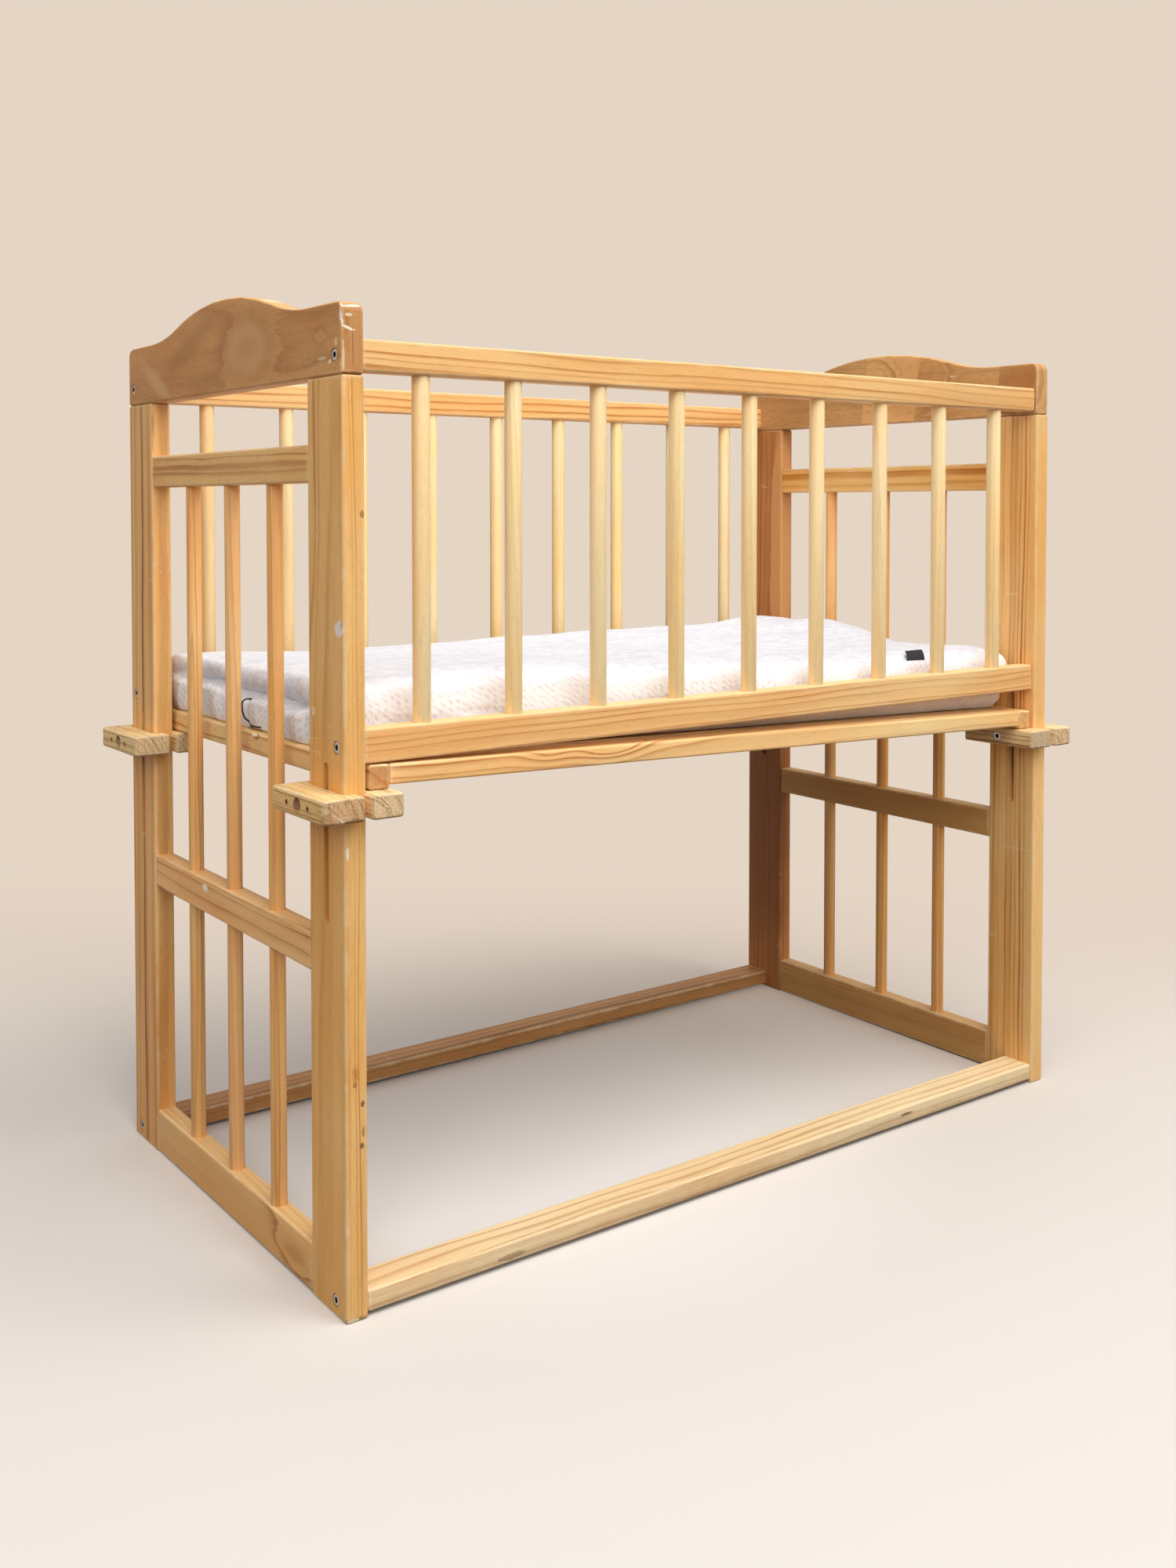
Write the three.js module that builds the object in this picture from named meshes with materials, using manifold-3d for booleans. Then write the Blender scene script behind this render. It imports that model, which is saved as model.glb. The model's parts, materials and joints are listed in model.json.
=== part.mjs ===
// A co-sleeping cradle in honey pine. Two end frames with humped headboards carry two spindle sides
// and two floor stretchers. Four clamps in the slotted posts hold the mattress platform.
// Millimetres, +Z up. The origin is on the floor under the middle. +X is the right end, -Y the front.
import * as THREE from 'three';
import { mergeVertices } from 'three/addons/utils/BufferGeometryUtils.js';
import Module from 'manifold-3d';

const wasm = await Module();
wasm.setup();

// Overall sizes, outside of the posts
const overallLength = 934;
const overallDepth = 500;

// Fits
const seatGap = 0.3;
const overrun = 5;
const mergeTolerance = 0.0001;

// Posts
const postHeight = 800;
const postThick = 21;
const postWidth = 66;

// Edges of all boards are eased; the end chamfer is a share of the edge radius
const edgeRadius = 2.5;
const endChamferShare = 0.6;
const edgeSteps = 2;

// Headboards
const headboardHeight = 61;
const headboardThick = 21;
const headboardInset = 1;
const headboardCornerRadius = 9;
const crestRise = 27.5;
const crestHalfWidth = 185;
const crestTurn = 115;
const crestSteps = 7;
const cornerSteps = 3;

// Rails of the end frames. The upper rail's drop is the hand gap below the headboard.
const endRailThick = 20;
const upperRailDrop = 56;
const upperRailHeight = 33;
const middleRailBottom = 286;
const middleRailHeight = 34;
const floorRailBottom = 1;
const floorRailHeight = 44;

// Spindles
const endSpindleCount = 3;
const endSpindleRadius = 7.5;
const endSpindleMargin = 88;
const sideSpindleCount = 9;
const sideSpindleRadius = 8;
const sideSpindleMargin = 62;
const tenonDepth = 12;
const roundSteps = 16;

// Sides
const sideCentreInset = 14;
const topRailLift = 3.5;
const topRailHeight = 27.5;
const topRailThick = 22;
const bottomRailBottom = 473;
const bottomRailHeight = 30;
const bottomRailThick = 20;

// Floor stretchers
const stretcherWidth = 38;
const stretcherThick = 19;
const stretcherInset = 1;
const stretcherBottom = 4;

// Joining bolts
const boltBoreRadius = 3.5;
const boltBoreDepth = 45;
const counterboreRadius = 5.5;
const counterboreDepth = 7;
const boreSteps = 10;

// Clamp slots in the posts, down from the underside of the sides
const slotLength = 138;
const slotWidth = 8;
const slotSteps = 6;

// Clamps. The right pair stands lower than the left pair.
const clampDrop = 22.5;
const blockHeight = 21;
const blockBody = 27;
const blockOverhang = 16;
const postFit = 0.5;
const deepLip = 12;
const shallowLip = 3;
const clampBoltRadius = 3;
const clampBoltFit = 0.3;
const clampHeadRadius = 5;
const clampHeadHeight = 6;
const clampHeadRecess = 6.5;
const clampHeadFit = 0.5;
const clampSocketRadius = 2.9;
const clampSocketDepth = 3;
const socketSides = 6;
const nutBoreRadius = 6.75;
const nutBoreDepth = 15;
const boltTail = 8;
const pilotRadius = 1.6;
const pilotDepth = 12;
const pilotOffset = 20;

// Platform
const platformTopClearance = 1.2;
const platformEndClearance = 4;
const platformSideInset = 3;
const platformRailHeight = 21;
const platformEndRailWidth = 20;
const longRailWidth = 34;
const longRailHeight = 18;
const baseBoardThick = 5;
const rebateWidth = 9;

// Mattress
const mattressEndClearance = 10;
const mattressSideClearance = 5;
const mattressThick = 60;
const mattressCrown = 5;
const mattressCornerRadius = 38;
const mattressSideDraw = 4;
const mattressEndDraw = 3;
const mattressEdgeRoll = 9;
const mattressLengthSteps = 26;
const mattressWidthSteps = 12;
const mattressLevelShares = [0, 0.1, 0.42, 0.7, 0.79, 0.9, 1];
const mattressInsetShares = [1, 0.2, 0, 0.12, 0.5, 0.15, 0.85];

// Places that follow from the sizes above
const postOutside = overallLength / 2;
const postInside = postOutside - postThick;
const postCentreX = postOutside - postThick / 2;
const postFront = overallDepth / 2;
const postCentreY = postFront - postWidth / 2;
const postBack = postFront - postWidth;
const sideCentreY = postFront - sideCentreInset;
const topRailBottom = postHeight + topRailLift;
const topRailCentreZ = topRailBottom + topRailHeight / 2;
const bottomRailTop = bottomRailBottom + bottomRailHeight;
const bottomRailCentreZ = bottomRailBottom + bottomRailHeight / 2;
const stretcherCentreY = postFront - stretcherInset - stretcherWidth / 2;
const stretcherCentreZ = stretcherBottom + stretcherThick / 2;
const headboardBottom = postHeight + seatGap;
const slotCentreZ = bottomRailBottom - slotLength / 2;
const floorRailTop = floorRailBottom + floorRailHeight;
const upperRailBottom = postHeight - upperRailDrop - upperRailHeight;
const endChamfer = edgeRadius * endChamferShare;

// The platform turns about the inner top edge of the left clamp blocks. Its left end comes up close
// under the sides, and its right end hangs down by the clamp drop.
const blockFace = postInside - seatGap - blockBody;
const platformHalfLength = postInside - platformEndClearance;
const platformHalfDepth = postFront - platformSideInset;
const platformTilt = Math.asin(clampDrop / (platformHalfLength + blockFace));
const platformLeftRise = platformRailHeight * Math.cos(platformTilt)
  + (platformHalfLength - blockFace) * Math.sin(platformTilt);
const platformPivotZ = bottomRailBottom - platformTopClearance - platformLeftRise;
const leftClampHeight = platformPivotZ - seatGap - blockHeight / 2;
const rightClampHeight = leftClampHeight - clampDrop;

const pine = { color: 0xc98f4e, roughness: 0.5, metalness: 0 };
const darkPine = { color: 0x8f6339, roughness: 0.55, metalness: 0 };
const paleBeech = { color: 0xe2be7c, roughness: 0.5, metalness: 0 };
const rawPine = { color: 0xd8b26c, roughness: 0.75, metalness: 0 };
const hardboard = { color: 0xb98a55, roughness: 0.8, metalness: 0 };
const quilt = { color: 0xf1f0f2, roughness: 0.95, metalness: 0 };
const zinc = { color: 0xa9abad, roughness: 0.35, metalness: 1 };

const alongX = new THREE.Matrix4().makeBasis(
  new THREE.Vector3(0, 1, 0), new THREE.Vector3(0, 0, 1), new THREE.Vector3(1, 0, 0));
const alongY = new THREE.Matrix4().makeBasis(
  new THREE.Vector3(0, 0, 1), new THREE.Vector3(1, 0, 0), new THREE.Vector3(0, 1, 0));

const cradle = new THREE.Group();

function addPiece(parent, name, geometry, finish, x, y, z) {
  const piece = new THREE.Mesh(geometry, new THREE.MeshStandardMaterial(finish));
  piece.name = name;
  piece.position.set(x, y, z);
  parent.add(piece);
  return piece;
}

function arcPoints(centreX, centreY, radius, from, to, steps) {
  const points = [];
  for (let i = 0; i <= steps; i++) {
    const angle = from + (to - from) * i / steps;
    points.push(new THREE.Vector2(
      centreX + radius * Math.cos(angle), centreY + radius * Math.sin(angle)));
  }
  return points;
}

// A closed outline pushed out along Z, with its ends chamfered, centred on the origin
function extrudeCentred(outline, length, chamfer) {
  const depth = length - 2 * chamfer;
  const geometry = new THREE.ExtrudeGeometry(new THREE.Shape(outline), {
    depth,
    steps: 1,
    bevelEnabled: chamfer > 0,
    bevelThickness: chamfer,
    bevelSize: chamfer,
    bevelOffset: -chamfer,
    bevelSegments: 1,
  });
  return geometry.translate(0, 0, -depth / 2);
}

function roundedSection(width, height) {
  const x = width / 2 - edgeRadius;
  const y = height / 2 - edgeRadius;
  const quarter = Math.PI / 2;
  return [
    ...arcPoints(x, -y, edgeRadius, -quarter, 0, edgeSteps),
    ...arcPoints(x, y, edgeRadius, 0, quarter, edgeSteps),
    ...arcPoints(-x, y, edgeRadius, quarter, 2 * quarter, edgeSteps),
    ...arcPoints(-x, -y, edgeRadius, 2 * quarter, 3 * quarter, edgeSteps),
  ];
}

// A board with eased edges, centred on the origin, with its grain along its longest size
function board(x, y, z) {
  const longest = Math.max(x, y, z);
  if (longest === x) return extrudeCentred(roundedSection(y, z), x, endChamfer).applyMatrix4(alongX);
  if (longest === y) return extrudeCentred(roundedSection(z, x), y, endChamfer).applyMatrix4(alongY);
  return extrudeCentred(roundedSection(x, y), z, endChamfer);
}

function rodAlongZ(radius, length, steps = roundSteps) {
  return new THREE.CylinderGeometry(radius, radius, length, steps).rotateX(Math.PI / 2);
}

function rodAlongX(radius, length, steps = boreSteps) {
  return new THREE.CylinderGeometry(radius, radius, length, steps).rotateZ(Math.PI / 2);
}

function toSolid(geometry) {
  const bare = geometry.clone();
  bare.deleteAttribute('normal');
  bare.deleteAttribute('uv');
  const merged = mergeVertices(bare, mergeTolerance);
  const index = merged.index.array;
  const triangles = [];
  for (let i = 0; i < index.length; i += 3) {
    const [a, b, c] = [index[i], index[i + 1], index[i + 2]];
    if (a !== b && b !== c && c !== a) triangles.push(a, b, c);
  }
  return new wasm.Manifold(new wasm.Mesh({
    numProp: 3,
    vertProperties: merged.attributes.position.array,
    triVerts: Uint32Array.from(triangles),
  }));
}

// Joins the first list of shapes into one solid and cuts the second list out of it
function carve(shapes, cutters) {
  let solid = toSolid(shapes[0]);
  for (const shape of shapes.slice(1)) solid = solid.add(toSolid(shape));
  for (const cutter of cutters) solid = solid.subtract(toSolid(cutter));
  const mesh = solid.getMesh();
  const result = new THREE.BufferGeometry();
  result.setAttribute('position', new THREE.BufferAttribute(mesh.vertProperties, 3));
  result.setIndex(new THREE.BufferAttribute(mesh.triVerts, 1));
  result.computeVertexNormals();
  return result;
}

// A bolt hole through a board that faces outward, with a counterbore for the head in its outer face
function joiningBoltHole(thick, outward, y, z) {
  const counterboreLength = counterboreDepth + overrun;
  const counterboreX = outward * (thick / 2 + overrun - counterboreLength / 2);
  return [
    rodAlongX(boltBoreRadius, thick + 2 * overrun).translate(0, y, z),
    rodAlongX(counterboreRadius, counterboreLength).translate(counterboreX, y, z),
  ];
}

// Blind bores for the joining bolts in both ends of a rail
function railEndBores(length) {
  const boreLength = boltBoreDepth + overrun;
  const place = length / 2 + overrun - boreLength / 2;
  return [-1, 1].map(end => rodAlongX(boltBoreRadius, boreLength).translate(end * place, 0, 0));
}

function slotCutter() {
  const radius = slotWidth / 2;
  const reach = slotLength / 2 - radius;
  const outline = [
    ...arcPoints(0, reach, radius, 0, Math.PI, slotSteps),
    ...arcPoints(0, -reach, radius, Math.PI, 2 * Math.PI, slotSteps),
  ];
  return extrudeCentred(outline, postThick + 2 * overrun, 0).applyMatrix4(alongX);
}

function addPost(name, end, side) {
  const middle = postHeight / 2;
  const geometry = carve([board(postThick, postWidth, postHeight)], [
    slotCutter().translate(0, 0, slotCentreZ - middle),
    ...joiningBoltHole(postThick, end, side * (sideCentreY - postCentreY), bottomRailCentreZ - middle),
    ...joiningBoltHole(postThick, end, side * (stretcherCentreY - postCentreY), stretcherCentreZ - middle),
  ]);
  addPiece(cradle, name, geometry, pine, end * postCentreX, side * postCentreY, middle);
}

// The crest swells out of the board's flat shoulders: a hollow arc, a round arc over the middle
// and a second hollow arc, tangent where they meet
function headboardOutline() {
  const halfLength = overallDepth / 2 - headboardInset;
  const turnAngle = 2 * Math.atan(crestRise / crestHalfWidth);
  const roundRadius = crestTurn / Math.sin(turnAngle);
  const hollowRadius = (crestHalfWidth - crestTurn) / Math.sin(turnAngle);
  const roundCentre = headboardHeight + crestRise - roundRadius;
  const hollowCentre = headboardHeight + hollowRadius;
  const quarter = Math.PI / 2;
  const cornerY = halfLength - headboardCornerRadius;
  const cornerZ = headboardHeight - headboardCornerRadius;
  const footY = halfLength - edgeRadius;
  return [
    ...arcPoints(footY, edgeRadius, edgeRadius, -quarter, 0, edgeSteps),
    ...arcPoints(cornerY, cornerZ, headboardCornerRadius, 0, quarter, cornerSteps),
    ...arcPoints(crestHalfWidth, hollowCentre, hollowRadius, -quarter, -quarter - turnAngle, crestSteps),
    ...arcPoints(0, roundCentre, roundRadius, quarter - turnAngle, quarter + turnAngle, 2 * crestSteps)
      .slice(1, -1),
    ...arcPoints(-crestHalfWidth, hollowCentre, hollowRadius, -quarter + turnAngle, -quarter, crestSteps),
    ...arcPoints(-cornerY, cornerZ, headboardCornerRadius, quarter, 2 * quarter, cornerSteps),
    ...arcPoints(-footY, edgeRadius, edgeRadius, 2 * quarter, 3 * quarter, edgeSteps),
  ];
}

function addHeadboard(name, end) {
  const blank = extrudeCentred(headboardOutline(), headboardThick, endChamfer).applyMatrix4(alongX);
  const boltZ = topRailCentreZ - headboardBottom;
  const geometry = carve([blank], [-1, 1].flatMap(
    side => joiningBoltHole(headboardThick, end, side * sideCentreY, boltZ)));
  addPiece(cradle, name, geometry, darkPine, end * (postOutside - headboardThick / 2), 0, headboardBottom);
}

// Where the spindles of a row stand along it: the outer ones a margin inside the posts
function spindlePlaces(count, halfSpace, margin) {
  const pitch = 2 * (halfSpace - margin) / (count - 1);
  return Array.from({ length: count }, (_, i) => margin - halfSpace + i * pitch);
}

function addEndFrame(name, end) {
  addPost(`post_${name}_front`, end, -1);
  addPost(`post_${name}_back`, end, 1);
  addHeadboard(`headboard_${name}`, end);

  const railLength = 2 * (postBack - seatGap);
  const centreX = end * postCentreX;
  const places = spindlePlaces(endSpindleCount, postBack, endSpindleMargin);
  const socketRadius = endSpindleRadius + seatGap;
  const socketLength = tenonDepth + seatGap + overrun;
  const socketAt = (y, z) => rodAlongZ(socketRadius, socketLength).translate(0, y, z);

  const upperSocketZ = -upperRailHeight / 2 - overrun + socketLength / 2;
  const upper = carve([board(endRailThick, railLength, upperRailHeight)],
    places.map(y => socketAt(y, upperSocketZ)));
  addPiece(cradle, `upper_rail_${name}`, upper, pine, centreX, 0, upperRailBottom + upperRailHeight / 2);

  const middle = carve([board(endRailThick, railLength, middleRailHeight)],
    places.map(y => rodAlongZ(socketRadius, middleRailHeight + 2 * overrun).translate(0, y, 0)));
  const middleZ = middleRailBottom + middleRailHeight / 2;
  addPiece(cradle, `middle_rail_${name}`, middle, pine, centreX, 0, middleZ);

  const floorSocketZ = floorRailHeight / 2 + overrun - socketLength / 2;
  const floor = carve([board(endRailThick, railLength, floorRailHeight)],
    places.map(y => socketAt(y, floorSocketZ)));
  addPiece(cradle, `floor_rail_${name}`, floor, pine, centreX, 0, floorRailBottom + floorRailHeight / 2);

  const foot = floorRailTop - tenonDepth;
  const length = upperRailBottom + tenonDepth - foot;
  places.forEach((y, i) => addPiece(cradle, `end_spindle_${name}_${i + 1}`,
    rodAlongZ(endSpindleRadius, length), pine, centreX, y, foot + length / 2));
}

function addSide(name, side) {
  const railLength = 2 * (postInside - seatGap);
  const places = spindlePlaces(sideSpindleCount, postInside, sideSpindleMargin);
  const socketLength = tenonDepth + seatGap + overrun;
  const socketRadius = sideSpindleRadius + seatGap;
  const sockets = z => places.map(x => rodAlongZ(socketRadius, socketLength).translate(x, 0, z));
  const y = side * sideCentreY;

  const topSocketZ = -topRailHeight / 2 - overrun + socketLength / 2;
  const top = carve([board(railLength, topRailThick, topRailHeight)],
    [...railEndBores(railLength), ...sockets(topSocketZ)]);
  addPiece(cradle, `top_rail_${name}`, top, pine, 0, y, topRailCentreZ);

  const bottomSocketZ = bottomRailHeight / 2 + overrun - socketLength / 2;
  const bottom = carve([board(railLength, bottomRailThick, bottomRailHeight)],
    [...railEndBores(railLength), ...sockets(bottomSocketZ)]);
  addPiece(cradle, `bottom_rail_${name}`, bottom, pine, 0, y, bottomRailCentreZ);

  const foot = bottomRailTop - tenonDepth;
  const length = topRailBottom + tenonDepth - foot;
  places.forEach((x, i) => addPiece(cradle, `side_spindle_${name}_${i + 1}`,
    rodAlongZ(sideSpindleRadius, length), paleBeech, x, y, foot + length / 2));

  const stretcher = carve([board(railLength, stretcherWidth, stretcherThick)], railEndBores(railLength));
  addPiece(cradle, `floor_stretcher_${name}`, stretcher, pine, 0, side * stretcherCentreY, stretcherCentreZ);
}

// A clamp block bears on the post at x = 0 and points away from it along +X.
// Its two lips reach back past the post's edges.
function clampBlock(lip, headRadius, headDepth, hasPilots) {
  const thick = blockBody + lip;
  const width = postWidth + 2 * blockOverhang;
  const centreX = (blockBody - lip) / 2;
  const recessDepth = lip + overrun;
  const recess = new THREE.BoxGeometry(recessDepth, postWidth + 2 * postFit, blockHeight + 2 * overrun)
    .translate(-recessDepth / 2, 0, 0);
  const fromFace = (radius, depth, y) => rodAlongX(radius, depth + overrun, roundSteps)
    .translate(blockBody - (depth - overrun) / 2, y, 0);
  const pilots = [-1, 1].map(side => fromFace(pilotRadius, pilotDepth, side * pilotOffset));
  return carve([board(thick, width, blockHeight).translate(centreX, 0, 0)], [
    recess,
    rodAlongX(clampBoltRadius + clampBoltFit, thick + 2 * overrun).translate(centreX, 0, 0),
    fromFace(headRadius, headDepth, 0),
    ...(hasPilots ? pilots : []),
  ]);
}

// The clamp bolt, in the same place as the inner block: its head sits in that block, its shank
// crosses the post's slot and ends in the nut bore of the outer block
function clampBolt() {
  const headUnder = blockBody - clampHeadRecess + seatGap;
  const tail = -(seatGap + postThick + seatGap + blockBody - nutBoreDepth + boltTail);
  const shankLength = headUnder + clampHeadHeight / 2 - tail;
  return carve([
    rodAlongX(clampHeadRadius, clampHeadHeight, roundSteps).translate(headUnder + clampHeadHeight / 2, 0, 0),
    rodAlongX(clampBoltRadius, shankLength).translate(tail + shankLength / 2, 0, 0),
  ], [
    rodAlongX(clampSocketRadius, clampSocketDepth + overrun, socketSides)
      .translate(headUnder + clampHeadHeight + (overrun - clampSocketDepth) / 2, 0, 0),
  ]);
}

function addClamp(name, end, side, height) {
  const outerLip = end < 0 ? deepLip : shallowLip;
  const innerLip = end < 0 ? shallowLip : deepLip;
  const y = side * postCentreY;
  const outerX = end * (postOutside + seatGap);
  const innerX = end * (postInside - seatGap);
  const turn = direction => (direction > 0 ? 0 : Math.PI);
  const outer = clampBlock(outerLip, nutBoreRadius, nutBoreDepth, true);
  const inner = clampBlock(innerLip, clampHeadRadius + clampHeadFit, clampHeadRecess, false);
  addPiece(cradle, `clamp_outer_${name}`, outer, rawPine, outerX, y, height).rotation.z = turn(end);
  addPiece(cradle, `clamp_inner_${name}`, inner, rawPine, innerX, y, height).rotation.z = turn(-end);
  addPiece(cradle, `clamp_bolt_${name}`, clampBolt(), zinc, innerX, y, height).rotation.z = turn(-end);
}

// The mattress: crowned on top, its sides rounded, drawn in between the corners and nipped at a seam
function mattressGeometry(length, width) {
  const levels = mattressLevelShares.length - 1;
  const halfLength = length / 2;
  const halfWidth = width / 2;
  const geometry = new THREE.BoxGeometry(length, width, mattressThick,
    mattressLengthSteps, mattressWidthSteps, levels);
  const place = geometry.attributes.position;
  for (let i = 0; i < place.count; i++) {
    const level = Math.round((place.getZ(i) / mattressThick + 0.5) * levels);
    const along = Math.sin(place.getX(i) / halfLength * Math.PI / 2);
    const across = Math.sin(place.getY(i) / halfWidth * Math.PI / 2);
    let x = Math.abs(along) * halfLength;
    let y = Math.abs(across) * halfWidth;
    const cornerX = x - (halfLength - mattressCornerRadius);
    const cornerY = y - (halfWidth - mattressCornerRadius);
    if (cornerX > 0 && cornerY > 0) {
      const pull = 1 - Math.max(cornerX, cornerY) / Math.hypot(cornerX, cornerY);
      x -= cornerX * pull;
      y -= cornerY * pull;
    }
    const inset = mattressEdgeRoll * mattressInsetShares[level];
    x *= 1 - (inset + mattressEndDraw * (1 - across * across)) / halfLength;
    y *= 1 - (inset + mattressSideDraw * (1 - along * along)) / halfWidth;
    const crown = level === levels ? mattressCrown * (1 - along ** 4) * (1 - across ** 4) : 0;
    const z = mattressThick * mattressLevelShares[level] + crown;
    place.setXYZ(i, Math.sign(along) * x, Math.sign(across) * y, z);
  }
  geometry.computeVertexNormals();
  return geometry;
}

// The platform: a frame with a base board let into its top, and the mattress on it
function addPlatform() {
  const platform = new THREE.Group();
  platform.position.set(-blockFace, 0, platformPivotZ);
  platform.rotation.y = platformTilt;
  cradle.add(platform);

  const innerX = platformHalfLength - platformEndRailWidth;
  const innerY = platformHalfDepth - longRailWidth;
  const rebateDepth = baseBoardThick + seatGap;
  const panelHalfX = innerX + rebateWidth;
  const panelHalfY = innerY + rebateWidth;
  const rebateHeight = rebateDepth + overrun;
  const rebateUp = (overrun - rebateDepth) / 2;

  for (const [name, end] of [['left', -1], ['right', 1]]) {
    const rebateX = -end * (platformEndRailWidth + overrun - rebateWidth) / 2;
    const rebate = new THREE.BoxGeometry(rebateWidth + overrun, 2 * panelHalfY, rebateHeight)
      .translate(rebateX, 0, platformRailHeight / 2 + rebateUp);
    const rail = carve([board(platformEndRailWidth, 2 * platformHalfDepth, platformRailHeight)], [rebate]);
    addPiece(platform, `platform_end_rail_${name}`, rail, pine,
      end * (platformHalfLength - platformEndRailWidth / 2) + blockFace, 0, platformRailHeight / 2);
  }

  const longLength = 2 * (innerX - seatGap);
  for (const [name, side] of [['front', -1], ['back', 1]]) {
    const rebateY = -side * (longRailWidth + overrun - rebateWidth) / 2;
    const rebate = new THREE.BoxGeometry(longLength + 2 * overrun, rebateWidth + overrun, rebateHeight)
      .translate(0, rebateY, longRailHeight / 2 + rebateUp);
    const rail = carve([board(longLength, longRailWidth, longRailHeight)], [rebate]);
    addPiece(platform, `platform_long_rail_${name}`, rail, pine,
      blockFace, side * (platformHalfDepth - longRailWidth / 2), platformRailHeight - longRailHeight / 2);
  }

  const panel = new THREE.BoxGeometry(2 * (panelHalfX - seatGap), 2 * (panelHalfY - seatGap), baseBoardThick);
  addPiece(platform, 'base_board', panel, hardboard, blockFace, 0, platformRailHeight - baseBoardThick / 2);

  const mattress = mattressGeometry(
    2 * (postInside - mattressEndClearance),
    2 * (sideCentreY - topRailThick / 2 - mattressSideClearance));
  addPiece(platform, 'mattress', mattress, quilt, blockFace, 0, platformRailHeight + seatGap);
}

addEndFrame('left', -1);
addEndFrame('right', 1);
addSide('front', -1);
addSide('back', 1);
addClamp('left_front', -1, -1, leftClampHeight);
addClamp('left_back', -1, 1, leftClampHeight);
addClamp('right_front', 1, -1, rightClampHeight);
addClamp('right_back', 1, 1, rightClampHeight);
addPlatform();

export default cradle;
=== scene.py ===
import json
import math
import random

import bmesh
import bpy
from mathutils import Euler, Matrix, Vector, noise


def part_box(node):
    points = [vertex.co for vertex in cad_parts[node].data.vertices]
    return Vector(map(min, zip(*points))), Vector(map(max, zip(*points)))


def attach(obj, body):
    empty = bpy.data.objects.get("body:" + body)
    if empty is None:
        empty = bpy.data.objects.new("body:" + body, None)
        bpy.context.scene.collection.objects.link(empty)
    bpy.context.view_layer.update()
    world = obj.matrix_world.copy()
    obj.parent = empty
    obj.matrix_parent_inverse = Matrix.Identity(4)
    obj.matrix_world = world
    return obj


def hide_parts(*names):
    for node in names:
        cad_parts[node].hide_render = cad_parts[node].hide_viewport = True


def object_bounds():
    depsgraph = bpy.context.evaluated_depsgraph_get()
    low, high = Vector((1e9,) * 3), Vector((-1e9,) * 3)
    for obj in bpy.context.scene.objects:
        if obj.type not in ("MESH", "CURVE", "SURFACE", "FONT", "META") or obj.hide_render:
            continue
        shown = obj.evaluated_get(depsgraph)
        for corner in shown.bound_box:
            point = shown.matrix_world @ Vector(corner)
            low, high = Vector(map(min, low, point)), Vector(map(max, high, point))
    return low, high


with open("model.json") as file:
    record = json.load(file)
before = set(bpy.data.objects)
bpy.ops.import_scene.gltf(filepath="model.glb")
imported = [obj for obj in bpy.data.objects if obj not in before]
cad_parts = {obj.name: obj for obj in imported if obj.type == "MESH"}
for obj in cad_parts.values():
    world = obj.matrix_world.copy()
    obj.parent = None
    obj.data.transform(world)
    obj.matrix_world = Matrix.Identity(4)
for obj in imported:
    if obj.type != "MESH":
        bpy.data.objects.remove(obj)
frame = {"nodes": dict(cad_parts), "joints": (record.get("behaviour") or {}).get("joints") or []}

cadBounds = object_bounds()
nodes = frame["nodes"]
scene = bpy.context.scene
ends = {"left": -1, "right": 1}
sides = {"front": -1, "back": 1}
bpy.ops.object.select_all(action="DESELECT")
print("stage: frame loaded,", len(nodes), "nodes")


# Small helpers for node trees. A new node goes into the tree of the sockets that feed it.

def hexColour(code):
    channels = [int(code[i:i + 2], 16) / 255 for i in (0, 2, 4)]
    return (*[c / 12.92 if c < 0.04 else ((c + 0.055) / 1.055) ** 2.4 for c in channels], 1.0)


def newMaterial(name):
    material = bpy.data.materials.new(name)
    material.use_nodes = True
    tree = material.node_tree
    tree.nodes.clear()
    shader = tree.nodes.new("ShaderNodeBsdfPrincipled")
    output = tree.nodes.new("ShaderNodeOutputMaterial")
    tree.links.new(shader.outputs[0], output.inputs[0])
    return material, tree, shader


def feed(socket, value):
    if isinstance(value, bpy.types.NodeSocket):
        socket.id_data.links.new(value, socket)
    else:
        socket.default_value = hexColour(value) if isinstance(value, str) else value


def feedAll(node, values):
    for name, value in values.items():
        feed(node.inputs[name], value)


def newNode(kind, *values, into=None, **settings):
    tree = next(value.id_data for value in values if isinstance(value, bpy.types.NodeSocket))
    node = tree.nodes.new("ShaderNode" + kind)
    for key, value in settings.items():
        setattr(node, key, value)
    feedAll(node, dict(zip(into or range(len(values)), values)))
    return node


def calc(operation, *values, clamp=False):
    return newNode("Math", *values, operation=operation, use_clamp=clamp).outputs[0]


def times(first, second, clamp=False):
    return calc("MULTIPLY", first, second, clamp=clamp)


def timesPlus(first, second, third):
    return calc("MULTIPLY_ADD", first, second, third)


def plus(first, second):
    return calc("ADD", first, second)


def minus(first, second):
    return calc("SUBTRACT", first, second)


def restOf(share):
    return minus(1.0, share)


def vectorCalc(operation, *values, number=False):
    return newNode("VectorMath", *values, operation=operation).outputs[int(number)]


def partsOf(vector):
    return newNode("SeparateXYZ", vector).outputs


def mapped(vector, scale=(1, 1, 1), rotation=(0, 0, 0), location=(0, 0, 0)):
    return newNode("Mapping", vector, location, rotation, scale).outputs[0]


def noiseOf(vector, scale, detail=2.0, roughness=0.5, colour=False, line=False):
    into = ("W" if line else "Vector", "Scale", "Detail", "Roughness")
    kind = "1D" if line else "3D"
    node = newNode("TexNoise", vector, scale, detail, roughness, into=into, noise_dimensions=kind)
    return node.outputs["Color" if colour else "Fac"]


def lotOf(number):
    # A random value for each whole number
    return newNode("TexWhiteNoise", number, into=("W",), noise_dimensions="1D").outputs["Value"]


def smoothStep(value, low, high):
    return newNode("MapRange", value, low, high, interpolation_type="SMOOTHSTEP").outputs[0]


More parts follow.
